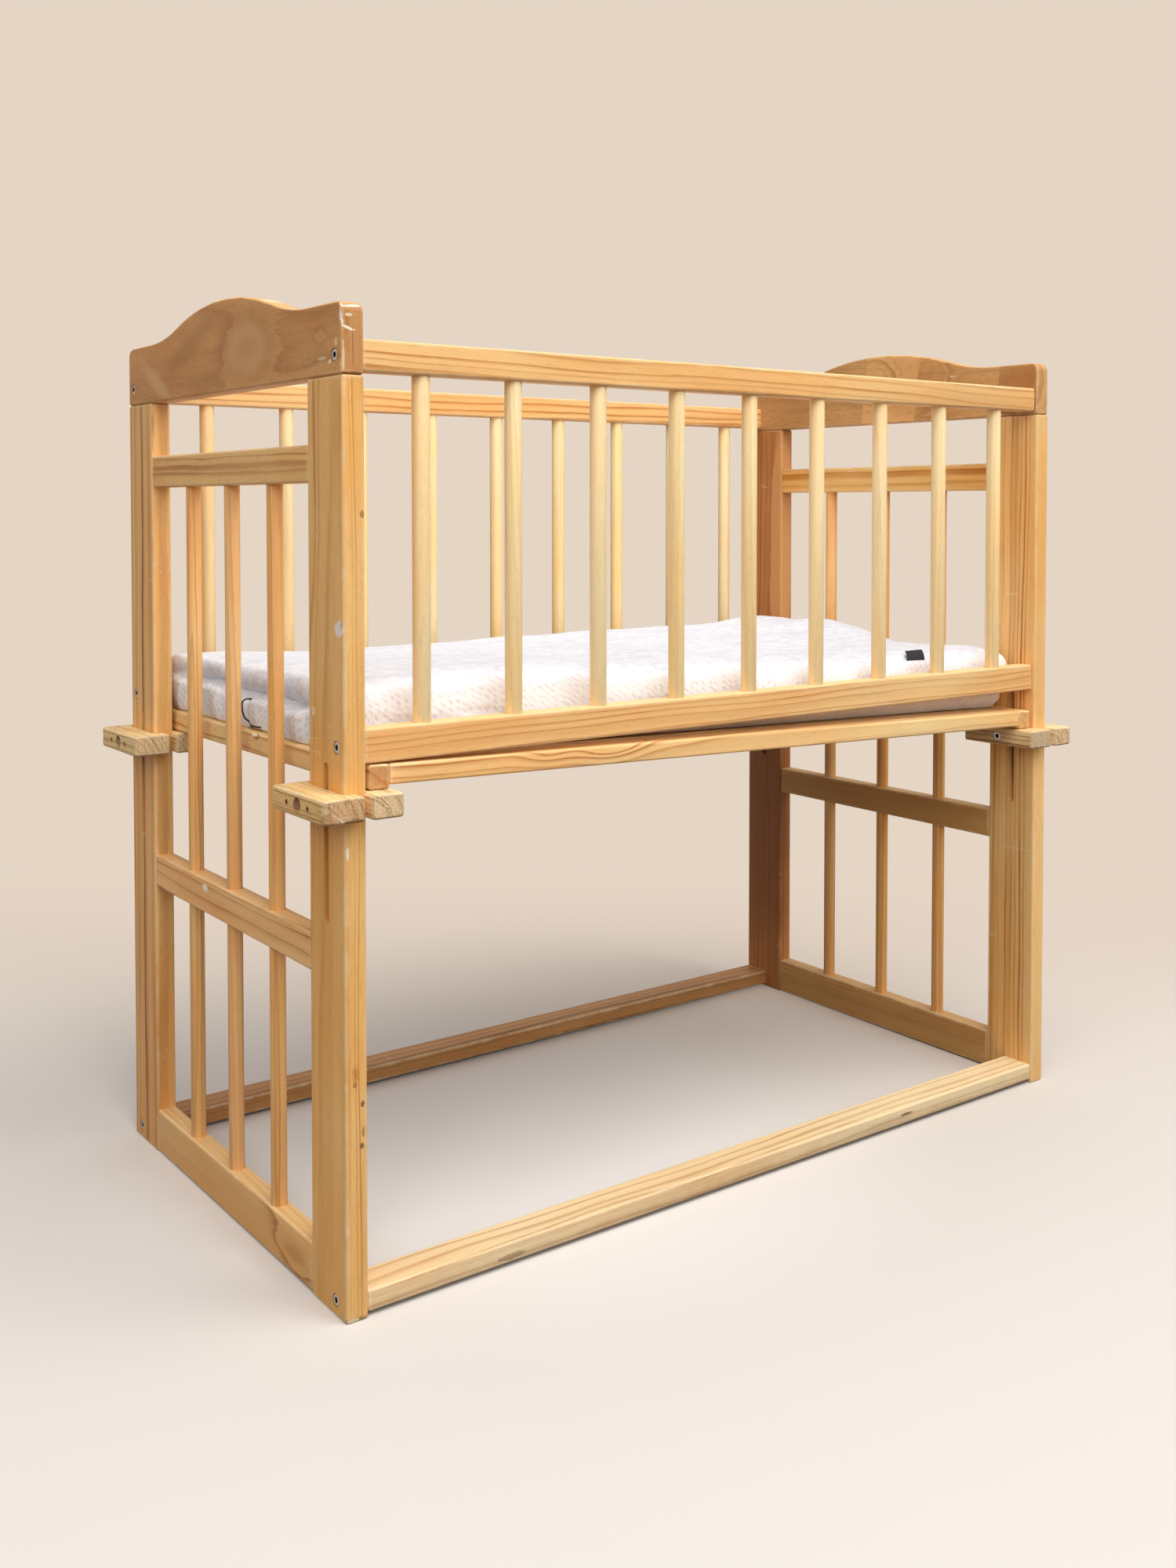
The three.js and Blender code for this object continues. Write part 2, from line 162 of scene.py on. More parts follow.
def mixColour(factor, first, second):
    return newNode("Mix", factor, first, second, into=(0, 6, 7), data_type="RGBA").outputs[2]


def mixShader(factor, first, second):
    return newNode("MixShader", factor, first, second).outputs[0]


def shaded(colour, value, saturation=1.0):
    into = ("Saturation", "Value", "Color")
    return newNode("HueSaturation", saturation, value, colour, into=into).outputs[0]


def bumpOf(height, strength, distance):
    return newNode("Bump", height, strength, distance, into=("Height", "Strength", "Distance")).outputs[0]


def objectPlace(tree):
    return tree.nodes.new("ShaderNodeTexCoord").outputs["Object"]


def directShare(tree):
    # What the camera and reflections see, but not the light that a surface throws on
    rays = tree.nodes.new("ShaderNodeLightPath")
    return calc("MAXIMUM", rays.outputs["Is Camera Ray"], rays.outputs["Is Glossy Ray"])


# Camera, floor and light

cameraView = {
    "place": (-1.0532, -1.3861, 0.6889), "turn": (88.136, 0.0, -36.444), "lens": 34.956, "sensor": 36.0,
    "shift": -0.1441,
}


def addCamera():
    turn = [math.radians(angle) for angle in cameraView["turn"]]
    bpy.ops.object.camera_add(location=cameraView["place"], rotation=turn)
    camera = bpy.context.object
    camera.name = "photoCamera"
    camera.data.lens = cameraView["lens"]
    camera.data.sensor_width = cameraView["sensor"]
    camera.data.shift_y = cameraView["shift"]
    scene.camera = camera


# The floor is painted paler in a pool under the cradle: painted light that lifts the cradle's shadow
floorLook = {
    "size": 30.0, "near": "dfd8d0", "under": "f8f2eb", "underPlace": (-0.12, 0.08, 0.0),
    "underReach": (0.22, 0.58), "far": "e5d5c5",
    "bounce": "766f69",       # how pale the floor is for light that it throws back
    "nearEdge": -0.5, "farEdge": 1.15, "glowStart": 0.10,
    "rimStart": 1.7,          # all round, the floor ends in the colour of the wall
    "rimEnd": 3.2,
}
lightLook = {
    "zenith": 0.60, "horizon": 0.21, "worldColour": "fdfdff",
    "lamps": (
        {"name": "keyLight", "place": (2.3, -3.1, 2.5), "size": 3.2, "power": 27.0},
        {"name": "leftKeyLight", "place": (-1.9, -3.3, 2.6), "size": 3.2, "power": 52.0},
        {"name": "topLight", "place": (0.1, -1.6, 3.5), "size": 2.8, "power": 82.0},
        {"name": "fillLight", "place": (-3.2, -0.8, 2.4), "size": 2.4, "power": 16.0},
    ),
}


def addFloor():
    look = floorLook
    bpy.ops.mesh.primitive_plane_add(size=look["size"])
    floor = bpy.context.object
    floor.name = "floor"
    material, tree, shader = newMaterial("paleFloor")
    place = objectPlace(tree)
    turn = math.radians(-cameraView["turn"][2])
    away = vectorCalc("DOT_PRODUCT", place, (math.sin(turn), math.cos(turn), 0), number=True)
    # Painted light: a paler pool on the floor under the cradle
    reach = vectorCalc("DISTANCE", place, look["underPlace"], number=True)
    near = mixColour(smoothStep(reach, *look["underReach"]), look["under"], look["near"])
    fade = smoothStep(away, look["nearEdge"], look["farEdge"])
    colour = mixColour(fade, near, look["far"])
    feedAll(shader, {"Base Color": colour, "Roughness": 1.0, "Specular IOR Level": 0.0})
    bounce = tree.nodes.new("ShaderNodeBsdfDiffuse")
    feed(bounce.inputs["Color"], look["bounce"])
    glow = tree.nodes.new("ShaderNodeEmission")
    feed(glow.inputs["Color"], look["far"])
    seen = directShare(tree)
    glowShare = smoothStep(away, look["glowStart"], look["farEdge"])
    rimShare = smoothStep(reach, look["rimStart"], look["rimEnd"])
    share = times(seen, calc("MAXIMUM", glowShare, rimShare))
    plain = mixShader(seen, bounce.outputs[0], shader.outputs[0])
    feed(tree.nodes["Material Output"].inputs[0], mixShader(share, plain, glow.outputs[0]))
    floor.data.materials.append(material)


def aimLamp(lamp):
    bpy.ops.object.light_add(type="AREA", location=lamp["place"])
    light = bpy.context.object
    light.name = lamp["name"]
    light.data.shape = "DISK"
    light.data.size = lamp["size"]
    light.data.energy = lamp["power"]
    middle = (cadBounds[0] + cadBounds[1]) / 2
    light.rotation_euler = (middle - Vector(lamp["place"])).to_track_quat("-Z", "Y").to_euler()


def addLight():
    for lamp in lightLook["lamps"]:
        aimLamp(lamp)
    world = bpy.data.worlds.new("studio")
    scene.world = world
    world.use_nodes = True
    tree = world.node_tree
    tree.nodes.clear()
    output = tree.nodes.new("ShaderNodeOutputWorld")
    light = tree.nodes.new("ShaderNodeBackground")
    feed(light.inputs[0], lightLook["worldColour"])
    direction = partsOf(tree.nodes.new("ShaderNodeTexCoord").outputs["Generated"])
    height = calc("MAXIMUM", direction[2], 0.0)
    rise = lightLook["zenith"] - lightLook["horizon"]
    feed(light.inputs[1], timesPlus(height, rise, lightLook["horizon"]))
    wall = tree.nodes.new("ShaderNodeBackground")
    feed(wall.inputs[0], floorLook["far"])
    feed(output.inputs[0], mixShader(directShare(tree), light.outputs[0], wall.outputs[0]))


addCamera()
addFloor()
addLight()
scene.view_settings.view_transform = "Standard"
print("stage: camera, floor and light")


# Wood. A board is cut from a log: the rings are tubes about a pith that lies beside the board.

woodLook = {
    "light": "fbc97f", "warm": "efaf5f", "dark": "b5651f", "worn": "fbe0b2",
    "ring": 0.0066,           # from one ring to the next
    "ringStrength": 0.85,
    "pith": 0.055,            # from the board's middle to the pith
    "pithSide": (0, 0, 1), "lean": 0.012, "wobble": 0.010, "blotch": 0.16, "fibre": 0.2,
    "band": 0.30,             # broad streaks along the grain
    "pores": 0.16, "flecks": 0.0, "wear": 0.4, "wearWidth": 0.004, "chips": 0.3, "scratches": 0.3,
    "endShade": "d9a56a", "endSpeckle": 0.35, "ridges": 0.0,
    "topHighlight": 0.25,          # painted highlight: faces that look up are paler
    "topLight": "fde0a2", "roughness": 0.46, "coat": 0.08, "coatRoughness": 0.28, "bump": 0.35,
    "staves": (), "staveTone": 0.3, "figures": (), "marks": (),
    "staveStep": (0.021, 0.013, 0.7),     # how far the next stave's log is moved
    "ridgePitch": 0.0034, "ridgeColour": "fff3d6", "chipColour": "fbe9cb", "scratchColour": "fff0d2",
    "specular": 0.28, "bumpDepth": 0.0005,
}
# Tone of a ring from its pale early wood to its dark late wood
ringProfile = ((0.0, 0.12), (0.45, 0.06), (0.68, 0.4), (0.88, 1.0), (0.95, 0.8), (1.0, 0.12))
axisTurns = {
    "x": Euler((0, -math.pi / 2, 0)).to_matrix(),
    "y": Euler((math.pi / 2, 0, 0)).to_matrix(),
    "z": Matrix.Identity(3),
}


def markShare(place, mark):
    # A ragged spot: 1 in its core and 0 outside its size
    offset = vectorCalc("SUBTRACT", place, mark["at"])
    offset = mapped(offset, rotation=mark.get("turn", (0, 0, 0)))
    offset = vectorCalc("DIVIDE", offset, mark["size"])
    rough = mark.get("rough", 1.1)
    ragged = noiseOf(place, mark.get("grain", 260), 3.0, colour=True)
    offset = vectorCalc("SUBTRACT", offset, (rough / 2,) * 3)
    ragged = vectorCalc("MULTIPLY_ADD", ragged, (rough,) * 3, offset)
    reach = vectorCalc("LENGTH", ragged, number=True)
    spot = restOf(smoothStep(reach, mark.get("core", 0.75), 1.0))
    return times(spot, mark["strength"])


def woodMaterial(name, box, changes):
    look = {**woodLook, **changes}
    low, high = box
    size = high - low
    centre = (low + high) / 2
    axis = max("xyz", key=lambda letter: getattr(size, letter))
    chance = random.Random(name)
    material, tree, shader = newMaterial("wood_" + name)
    coordinates = tree.nodes.new("ShaderNodeTexCoord")
    place = coordinates.outputs["Object"]

    # Board space: Z runs along the grain and the origin is in the pith
    lean = Euler((chance.uniform(-1, 1) * look["lean"], chance.uniform(-1, 1) * look["lean"], 0)).to_matrix()
    turn = lean @ axisTurns[axis]
    pith = turn @ (Vector(look["pithSide"]).normalized() * look["pith"] * chance.uniform(0.9, 1.15))
    pith.z = chance.uniform(1, 9)
    board = mapped(place, rotation=turn.to_euler(), location=pith - turn @ centre)

    # Finger-jointed staves each come from another log
    staveTone = None
    if look["staves"]:
        parts = partsOf(place)
        skewed = timesPlus(parts[2], 0.12, parts["xyz".index(axis)])
        count = calc("GREATER_THAN", skewed, look["staves"][0])
        for edge in look["staves"][1:]:
            count = plus(calc("GREATER_THAN", skewed, edge), count)
        staveTone = lotOf(timesPlus(count, 3.7, chance.uniform(0, 9)))
        step = newNode("CombineXYZ", *[times(count, value) for value in look["staveStep"]])
        board = vectorCalc("ADD", board, step.outputs[0])

    def grainNoise(squeeze, *settings, colour=False):
        return noiseOf(mapped(board, scale=(1, 1, squeeze)), *settings, colour=colour)

    slow = grainNoise(0.16, 16, colour=True)
    quick = grainNoise(0.08, 95)
    bent = vectorCalc("MULTIPLY_ADD", slow, (look["wobble"],) * 3, board)
    radius = vectorCalc("LENGTH", vectorCalc("MULTIPLY", bent, (1, 1, 0)), number=True)
    radius = timesPlus(quick, look["ring"] * 0.5, radius)
    for knot in look["figures"]:
        offset = vectorCalc("DIVIDE", vectorCalc("SUBTRACT", place, knot["at"]), knot["size"])
        reach = vectorCalc("LENGTH", offset, number=True)
        swell = calc("EXPONENT", times(times(reach, reach), -1.0))
        radius = timesPlus(swell, knot["rise"], radius)
    # Good and lean years: the rings lie unevenly and some are faint
    turns = calc("DIVIDE", radius, look["ring"])
    drift = noiseOf(plus(turns, chance.uniform(0, 50)), 0.55, 1.0, line=True)
    turns = timesPlus(drift, 2.2, turns)
    year = lotOf(plus(calc("FLOOR", turns), chance.uniform(0, 50)))
    ramp = newNode("ValToRGB", calc("FRACT", turns))
    elements = ramp.color_ramp.elements
    while len(elements) < len(ringProfile):
        elements.new(0.5)
    for element, (along, tone) in zip(elements, ringProfile):
        element.position = along
        element.color = (tone, tone, tone, 1)
    grain = times(ramp.outputs[0], timesPlus(year, 0.8, 0.35))
    faint = smoothStep(grainNoise(0.2, 30, 1.0), 0.25, 0.75)
    ringShare = times(grain, timesPlus(faint, 0.6, 0.55))
    ringShare = times(ringShare, look["ringStrength"], clamp=True)

    blotch = grainNoise(0.35, 11, 3.0)
    fibre = grainNoise(0.02, 850, 3.0, 0.6)
    pores = smoothStep(grainNoise(0.045, 1500, 1.0), 0.62, 0.74)

    colour = mixColour(smoothStep(blotch, 0.3, 0.7), look["light"], look["warm"])
    colour = mixColour(ringShare, colour, look["dark"])
    value = timesPlus(fibre, look["fibre"], chance.uniform(0.98, 1.02) - look["fibre"] / 2)
    value = timesPlus(blotch, look["blotch"], minus(value, look["blotch"] / 2))
    value = timesPlus(pores, -look["pores"], value)
    band = grainNoise(0.03, 65)
    value = timesPlus(band, look["band"], minus(value, look["band"] / 2))
    if look["flecks"]:
        dashes = grainNoise(0.16, 620, 2.0, 0.6)
        value = timesPlus(smoothStep(dashes, 0.5, 0.72), -look["flecks"], value)
    if staveTone:
        value = timesPlus(minus(staveTone, 0.5), look["staveTone"], value)
    colour = shaded(colour, value, chance.uniform(0.94, 1.04))

    # End grain: speckled, with the rings as arcs and here and there a fine crack
    grainDirection = turn.inverted() @ Vector((0, 0, 1))
    facing = vectorCalc("DOT_PRODUCT", coordinates.outputs["Normal"], grainDirection, number=True)
    endShare = smoothStep(calc("ABSOLUTE", facing), 0.55, 0.85)
    speckle = noiseOf(place, 1100, 2.0, 0.7)
    endColour = mixColour(times(ringShare, 0.7), look["endShade"], look["dark"])
    endValue = timesPlus(speckle, look["endSpeckle"] * 2, 1 - look["endSpeckle"])
    skew = (0, 0, chance.uniform(-0.3, 0.3))
    crack = noiseOf(mapped(board, scale=(1, 0.12, 1), rotation=skew), 260, 1.0)
    crack = smoothStep(calc("ABSOLUTE", minus(crack, 0.42)), 0.0, 0.02)
    endColour = shaded(endColour, times(endValue, timesPlus(crack, 0.3, 0.7)))
    ridgeShare = 0.0
    if look["ridges"]:
        across = partsOf(vectorCalc("MULTIPLY_ADD", slow, (0.006, 0.006, 0), place))
        slanted = timesPlus(across[2], -0.6, across[0])
        wave = calc("SINE", times(slanted, 2 * math.pi / look["ridgePitch"]))
        ridgeShare = smoothStep(timesPlus(speckle, 1.6, wave), 0.6, 1.4)
        ridgeShare = times(ridgeShare, look["ridges"])
        endColour = mixColour(ridgeShare, endColour, look["ridgeColour"])
    # Painted highlight: faces that look up are mixed towards a paler colour
    upward = partsOf(coordinates.outputs["Normal"])[2]
    colour = mixColour(times(smoothStep(upward, 0.6, 0.95), look["topHighlight"]), colour, look["topLight"])
    colour = mixColour(endShare, colour, endColour)

    # Worn edges: the middle one of the distances to the box's faces is the distance to the nearest edge
    outward = vectorCalc("ABSOLUTE", vectorCalc("SUBTRACT", place, centre))
    a, b, c = partsOf(vectorCalc("SUBTRACT", size / 2, outward))
    edge = calc("MAXIMUM", calc("MINIMUM", a, b), calc("MINIMUM", calc("MAXIMUM", a, b), c))
    rub = noiseOf(place, 34, 4.0, 0.65)
    ragged = timesPlus(rub, -0.008, plus(edge, 0.004))
    worn = restOf(smoothStep(ragged, 0.0, look["wearWidth"]))
    colour = mixColour(times(worn, look["wear"]), colour, look["worn"])
    nick = smoothStep(noiseOf(place, 170), 0.66, 0.7)
    nearEdge = restOf(smoothStep(edge, 0.0015, 0.004))
    chips = times(times(nick, nearEdge), look["chips"])
    colour = mixColour(chips, colour, look["chipColour"])

    # Fine scratches here and there
    slant = [chance.uniform(0, 3) for _ in "xyz"]
    streak = noiseOf(mapped(place, scale=(1, 0.06, 1), rotation=slant), 120, 1.0)
    streak = calc("ABSOLUTE", minus(streak, 0.5))
    line = restOf(smoothStep(streak, 0.002, 0.006))
    sparse = smoothStep(noiseOf(place, 17), 0.6, 0.68)
    scratch = times(times(line, sparse), look["scratches"])
    colour = mixColour(scratch, colour, look["scratchColour"])

    for mark in look["marks"]:
        colour = mixColour(markShare(place, mark), colour, mark["colour"])

    rough = look["roughness"]
    for share, weight in ((ringShare, 0.08), (fibre, 0.1), (worn, 0.12), (endShare, 0.25)):
        rough = timesPlus(share, weight, rough)
    height = times(ringShare, 0.8)
    for share, weight in ((fibre, 0.5), (pores, -0.8), (scratch, -1.2)):
        height = timesPlus(share, weight, height)
    roughEnd = timesPlus(speckle, 1.8, timesPlus(ridgeShare, 1.5, crack))
    height = timesPlus(endShare, roughEnd, height)
    feedAll(shader, {
        "Base Color": colour, "Roughness": rough, "Specular IOR Level": look["specular"],
        "Coat Weight": look["coat"], "Coat Roughness": look["coatRoughness"],
        "Normal": bumpOf(height, look["bump"], look["bumpDepth"]),
    })
    return material


def middleOf(name):
    low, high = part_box(name)
    return (low + high) / 2


def figure(at, size, rise):
    # A place where the rings swell into a closed figure
    return {"at": at, "size": size, "rise": rise}


def patch(at, size, colour, strength, **more):
    # A mark on the wood. Its ragged rim can be given a grain, a roughness, a core and a turn.
    return {"at": at, "size": size, "colour": colour, "strength": strength, **more}


def dressNode(name, changes):
    # The node stays as it is. Its loose triangles are welded and shaded round at the eased edges.
    node = nodes[name]
    node.data.materials.clear()
    node.data.materials.append(woodMaterial(name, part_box(name), changes))
    bpy.context.view_layer.objects.active = node
    bpy.ops.mesh.customdata_custom_splitnormals_clear()
    for face in node.data.polygons:
        face.use_smooth = True
    weld = node.modifiers.new("weld", "WELD")
    weld.merge_threshold = 0.00001
    split = node.modifiers.new("split", "EDGE_SPLIT")
    split.split_angle = math.radians(50)
    soften = node.modifiers.new("soften", "WEIGHTED_NORMAL")
    soften.weight = 90


# Posts. The left front one is a close-grained board, the others show their rings.

corners = [(endName, sideName) for endName in ends for sideName in sides]
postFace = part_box("post_right_front")[1].x
slotMiddleZ = 0.404
# Painted shade: the inside of the slot in each post is painted dark, where shade falls
paintedSlotShade = {
    "size": (0.0098, 0.0056, 0.090), "colour": "5f3a1a", "strength": 0.75, "rough": 0.15, "core": 0.8,
}
# Painted shade: a dark ring round each bolt head stands in for the counterbore's shadow
paintedBoltShade = {
    "size": (0.004, 0.0072, 0.0072), "colour": "7d5228", "strength": 0.6, "grain": 300, "rough": 0.4,
    "core": 0.6,
}


def boltShadeMarks(endName, sideName, railKinds):
    # Painted shade round the bolt heads
    middles = [middleOf(f"{railKind}_{sideName}") for railKind in railKinds]
    return [{"at": (ends[endName] * postFace, middle.y, middle.z), **paintedBoltShade} for middle in middles]


def slotShadeMark(endName, sideName):
    corner = f"{endName}_{sideName}"
    middle = (middleOf("post_" + corner).x, middleOf("clamp_bolt_" + corner).y, slotMiddleZ)
    return {"at": middle, **paintedSlotShade}


postLook = {"ring": 0.0105, "pithSide": (0.35, 1, 0), "pith": 0.06, "flecks": 0.08, "wobble": 0.013}
postLooks = {
    "post_left_front": {
        "light": "ffce88", "ring": 0.0068, "ringStrength": 0.75, "dark": "b5682a", "pithSide": (1, 0.1, 0),
        "pith": 0.09, "wobble": 0.016, "pores": 0.14, "blotch": 0.24, "fibre": 0.22,
        "marks": (
            patch((-0.467, -0.2420, 0.5885), (0.004, 0.0088, 0.0082), "f5efe6", 0.8, grain=170, rough=0.7),
            patch((-0.467, -0.2470, 0.5915), (0.004, 0.0028, 0.0040), "dfae78", 0.7),
            patch((-0.467, -0.1935, 0.5145), (0.004, 0.0040, 0.0048), "f0d6b4", 0.9, rough=0.8),
            patch((-0.467, -0.1880, 0.5040), (0.004, 0.0030, 0.0085), "e6c3a0", 0.8, rough=0.8),
            patch((-0.4640, -0.25, 0.400), (0.0014, 0.003, 0.0060), "fbf3e2", 0.9),
            patch((-0.4487, -0.25, 0.6842), (0.0026, 0.003, 0.0035), "8a5a2c", 0.7),
            patch((-0.4575, -0.25, 0.212), (0.0050, 0.003, 0.0095), "b3632c", 0.6, core=0.2),
            patch((-0.4585, -0.25, 0.203), (0.0022, 0.003, 0.0030), "8f4a22", 0.6),
            patch((-0.4510, -0.25, 0.186), (0.0022, 0.003, 0.0030), "6d4524", 0.8),
            patch((-0.4505, -0.25, 0.1616), (0.0016, 0.003, 0.0050), "9a6433", 0.6),
            patch((-0.4520, -0.25, 0.150), (0.0024, 0.003, 0.0030), "6d4524", 0.8),
            patch((-0.4660, -0.25, 0.080), (0.0016, 0.003, 0.0060), "f6deb4", 0.7),
            patch((-0.4565, -0.25, 0.0), (0.020, 0.02, 0.0060), "8a6238", 0.7, grain=220, core=0.4),
            patch((-0.4610, -0.25, 0.001), (0.006, 0.004, 0.0038), "f3dcb2", 0.8),
        ),
    },
    "post_left_back": {
        "light": "fdc679", "warm": "eeaa5c", "dark": "9a5620", "pithSide": (0.45, 1, 0), "ring": 0.0115,
        "ringStrength": 1.05,
    },
    "post_right_front": {
        "light": "ffd28c", "warm": "f5b869", "pithSide": (0.25, 1, 0), "ring": 0.0100, "ringStrength": 1.0,
        "wobble": 0.010,
    },
    # The right back post's darker, redder colours are partly painted shade
    "post_right_back": {
        "light": "cf8b4d", "warm": "b87138", "dark": "7f431d", "worn": "e8b985", "ringStrength": 0.8,
        "pithSide": (1, 0.5, 0), "wobble": 0.018, "topHighlight": 0.0,
        "marks": (
            patch((0.446, 0.186, 0.640), (0.03, 0.023, 0.170), "dc9f63", 0.75, grain=14, core=0.8, rough=0.5),
            # Painted shade below the platform
            patch((0.446, 0.220, 0.250), (0.03, 0.090, 0.300), "7a4a22", 0.5, grain=14, core=0.3),
        ),
    },
}
for endName, sideName in corners:
    postName = f"post_{endName}_{sideName}"
    look = {**postLook, **postLooks[postName]}
    boltShades = boltShadeMarks(endName, sideName, ("bottom_rail", "floor_stretcher"))
    look["marks"] = (slotShadeMark(endName, sideName), *look.get("marks", ()), *boltShades)
    dressNode(postName, look)


# Headboards: darker boards of finger-jointed pieces, with a ring figure on the left one

headboardLook = {
    "light": "dda769", "warm": "c58a52", "dark": "8a5629", "worn": "f2cd96", "ring": 0.017,
    "ringStrength": 0.38, "pith": 0.09, "pithSide": (1, 0, 0.3), "wobble": 0.04, "blotch": 0.45,
    "pores": 0.25, "flecks": 0.16, "scratches": 0.6, "endShade": "dba86c", "endSpeckle": 0.2,
    "roughness": 0.48, "coat": 0.06,
}
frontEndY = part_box("headboard_left")[0].y
headboardLooks = {
    "headboard_left": {
        "light": "e5ac6c", "warm": "ca8a50", "ring": 0.022, "ringStrength": 0.42, "endShade": "cb9058",
        "figures": (
            figure((-0.467, -0.062, 0.838), (0.08, 0.060, 0.032), 0.030),
            figure((-0.467, -0.2105, 0.836), (0.03, 0.012, 0.007), 0.010),
        ),
        "marks": (
            patch((-0.467, -0.062, 0.838), (0.03, 0.072, 0.042), "9a6a3a", 0.4, grain=14, core=0.35,
                  rough=0.5),
            patch((-0.467, -0.060, 0.837), (0.03, 0.054, 0.031), "e4ac74", 0.6, grain=18, core=0.5,
                  rough=0.4),
            patch((-0.467, -0.058, 0.836), (0.03, 0.034, 0.018), "b58452", 0.3, grain=22, core=0.2,
                  rough=0.5),
            patch((-0.467, 0.080, 0.850), (0.03, 0.100, 0.018), "94632f", 0.4, grain=10, core=0.2, rough=0.8,
                  turn=(0.35, 0, 0)),
            patch((-0.467, 0.170, 0.822), (0.03, 0.060, 0.014), "e8bd88", 0.5, grain=12, core=0.2, rough=0.8,
                  turn=(-0.5, 0, 0)),
            patch((-0.4565, -0.0950, 0.8790), (0.011, 0.034, 0.0060), "f8dfb4", 0.75, grain=120, core=0.5),
            patch((-0.4565, -0.1420, 0.8660), (0.010, 0.010, 0.0050), "f8dfb4", 0.7, grain=150, core=0.5),
            patch((-0.467, 0.0400, 0.812), (0.03, 0.070, 0.014), "94632f", 0.3, grain=10, core=0.2,
                  rough=0.8),
            patch((-0.467, -0.214, 0.8155), (0.004, 0.0080, 0.0016), "e8cfae", 0.7),
            patch((-0.467, -0.2280, 0.8118), (0.004, 0.0030, 0.0024), "f4ead8", 0.85),
            patch((-0.467, -0.2395, 0.8275), (0.004, 0.0026, 0.0046), "f0cfa6", 0.8),
            patch((-0.4675, frontEndY, 0.8585), (0.0065, 0.004, 0.0018), "fdf1da", 0.95),
            patch((-0.4560, frontEndY, 0.8575), (0.0120, 0.004, 0.0016), "fdf1da", 0.95, turn=(0, 0.1, 0)),
            patch((-0.4610, frontEndY, 0.8387), (0.0085, 0.004, 0.0014), "fdf1da", 0.95, turn=(0, -0.30, 0)),
            patch((-0.4600, frontEndY, 0.8495), (0.0040, 0.004, 0.0014), "f6e2c0", 0.8),
            patch((-0.4565, frontEndY, 0.8010), (0.0120, 0.004, 0.0020), "7e4c22", 0.75),
            patch((-0.4668, frontEndY, 0.8480), (0.0011, 0.004, 0.0110), "fdf1da", 0.95, turn=(0, 0.12, 0)),
            patch((-0.4562, frontEndY, 0.8230), (0.0006, 0.004, 0.0230), "84502a", 0.65, turn=(0, 0.02, 0)),
            patch((-0.4650, frontEndY, 0.8150), (0.0012, 0.004, 0.0140), "f3d8ac", 0.7),
        ),
    },
    "headboard_right": {
        "light": "f4b870", "warm": "c68445", "dark": "91561f", "staves": (-0.162, -0.092, 0.037, 0.128),
        "staveTone": 0.75, "ringStrength": 0.55,
        "figures": (
            figure((0.446, -0.085, 0.85), (0.06, 0.028, 0.03), 0.035),
            figure((0.446, 0.010, 0.86), (0.06, 0.035, 0.03), -0.030),
        ),
    },
}
for endName in ends:
    boardName = f"headboard_{endName}"
    look = {**headboardLook, **headboardLooks[boardName]}
    boltShades = [stainAndShade for sideName in sides for stainAndShade in boltShadeMarks(endName, sideName, ("top_rail",))]
    look["marks"] = (*look.get("marks", ()), *boltShades)
    dressNode(boardName, look)


# Rails

endRailLook = {"pithSide": (0.25, 0, 1), "ring": 0.0115, "lean": 0.02, "wobble": 0.013, "ringStrength": 0.9}
sideRailLook = {
    "light": "fed08c", "warm": "f6b970", "dark": "c47a34", "pithSide": (0, 0.35, 1), "ring": 0.0085,
    "wobble": 0.016, "ringStrength": 1.0, "topHighlight": 0.45,
}
stretcherLook = {
    "light": "ffe4b2", "warm": "fbd296", "dark": "c47b36", "ring": 0.0095, "pithSide": (0, 0.6, 1),
    "wear": 0.6, "ringStrength": 1.0, "wobble": 0.016,
}
railLooks = {
    "upper_rail_left": {"flecks": 0.1},
    "middle_rail_left": {
        "light": "ffca82", "warm": "f4ad5c", "pithSide": (0.5, 0, 1), "pith": 0.045, "ring": 0.0088,
        "ringStrength": 1.1, "wobble": 0.018,
        "marks": (
            patch((-0.467, -0.060, 0.3120), (0.004, 0.170, 0.0045), "fbd292", 0.4, grain=16, core=0.3,
                  rough=0.6),
            patch((-0.4665, 0.0498, 0.3115), (0.004, 0.008, 0.0040), "fbf6ec", 0.95, grain=180),
        ),
    },
    "floor_rail_left": {
        "pithSide": (1, 0, 0.2), "pith": 0.05, "ringStrength": 0.75,
        "figures": (figure((-0.4665, -0.1478, 0.0204), (0.03, 0.050, 0.016), 0.012),),
    },
    # Below the platform the right end's rails are painted darker with fainter rings: painted shade
    "middle_rail_right": {"light": "d9a765", "warm": "c18c4c", "ringStrength": 0.45},
    "floor_rail_right": {"light": "dba867", "warm": "c48e50", "ringStrength": 0.45},
    "top_rail_front": {
        "marks": (
            patch((0.330, -0.2495, 0.808), (0.170, 0.02, 0.030), "dd9c5a", 0.45, grain=12, core=0.2,
                  rough=0.5),
        ),
    },
    "bottom_rail_front": {
        "ring": 0.0068, "ringStrength": 0.85,
        "marks": (
            patch((0.270, -0.2495, 0.495), (0.170, 0.02, 0.030), "ffdd9e", 0.45, grain=12, core=0.2,
                  rough=0.5),
        ),
    },
    "bottom_rail_back": {"ring": 0.0068, "ringStrength": 0.85},
    "floor_stretcher_front": {
        "marks": (
            patch((0.0, -0.2495, 0.006), (0.9, 0.004, 0.0110), "9a7448", 0.35, grain=30, core=0.1),
            patch((0.2274, -0.2495, 0.0149), (0.012, 0.004, 0.0016), "5f4226", 0.8),
            patch((-0.300, -0.2495, 0.010), (0.020, 0.004, 0.0030), "6d4d2c", 0.5),
        ),
    },
    # Painted shade: the back stretcher under the platform is darker and has no painted highlight on top
    "floor_stretcher_back": {"light": "dca266", "warm": "c78a50", "dark": "85552c", "topHighlight": 0.0},
}
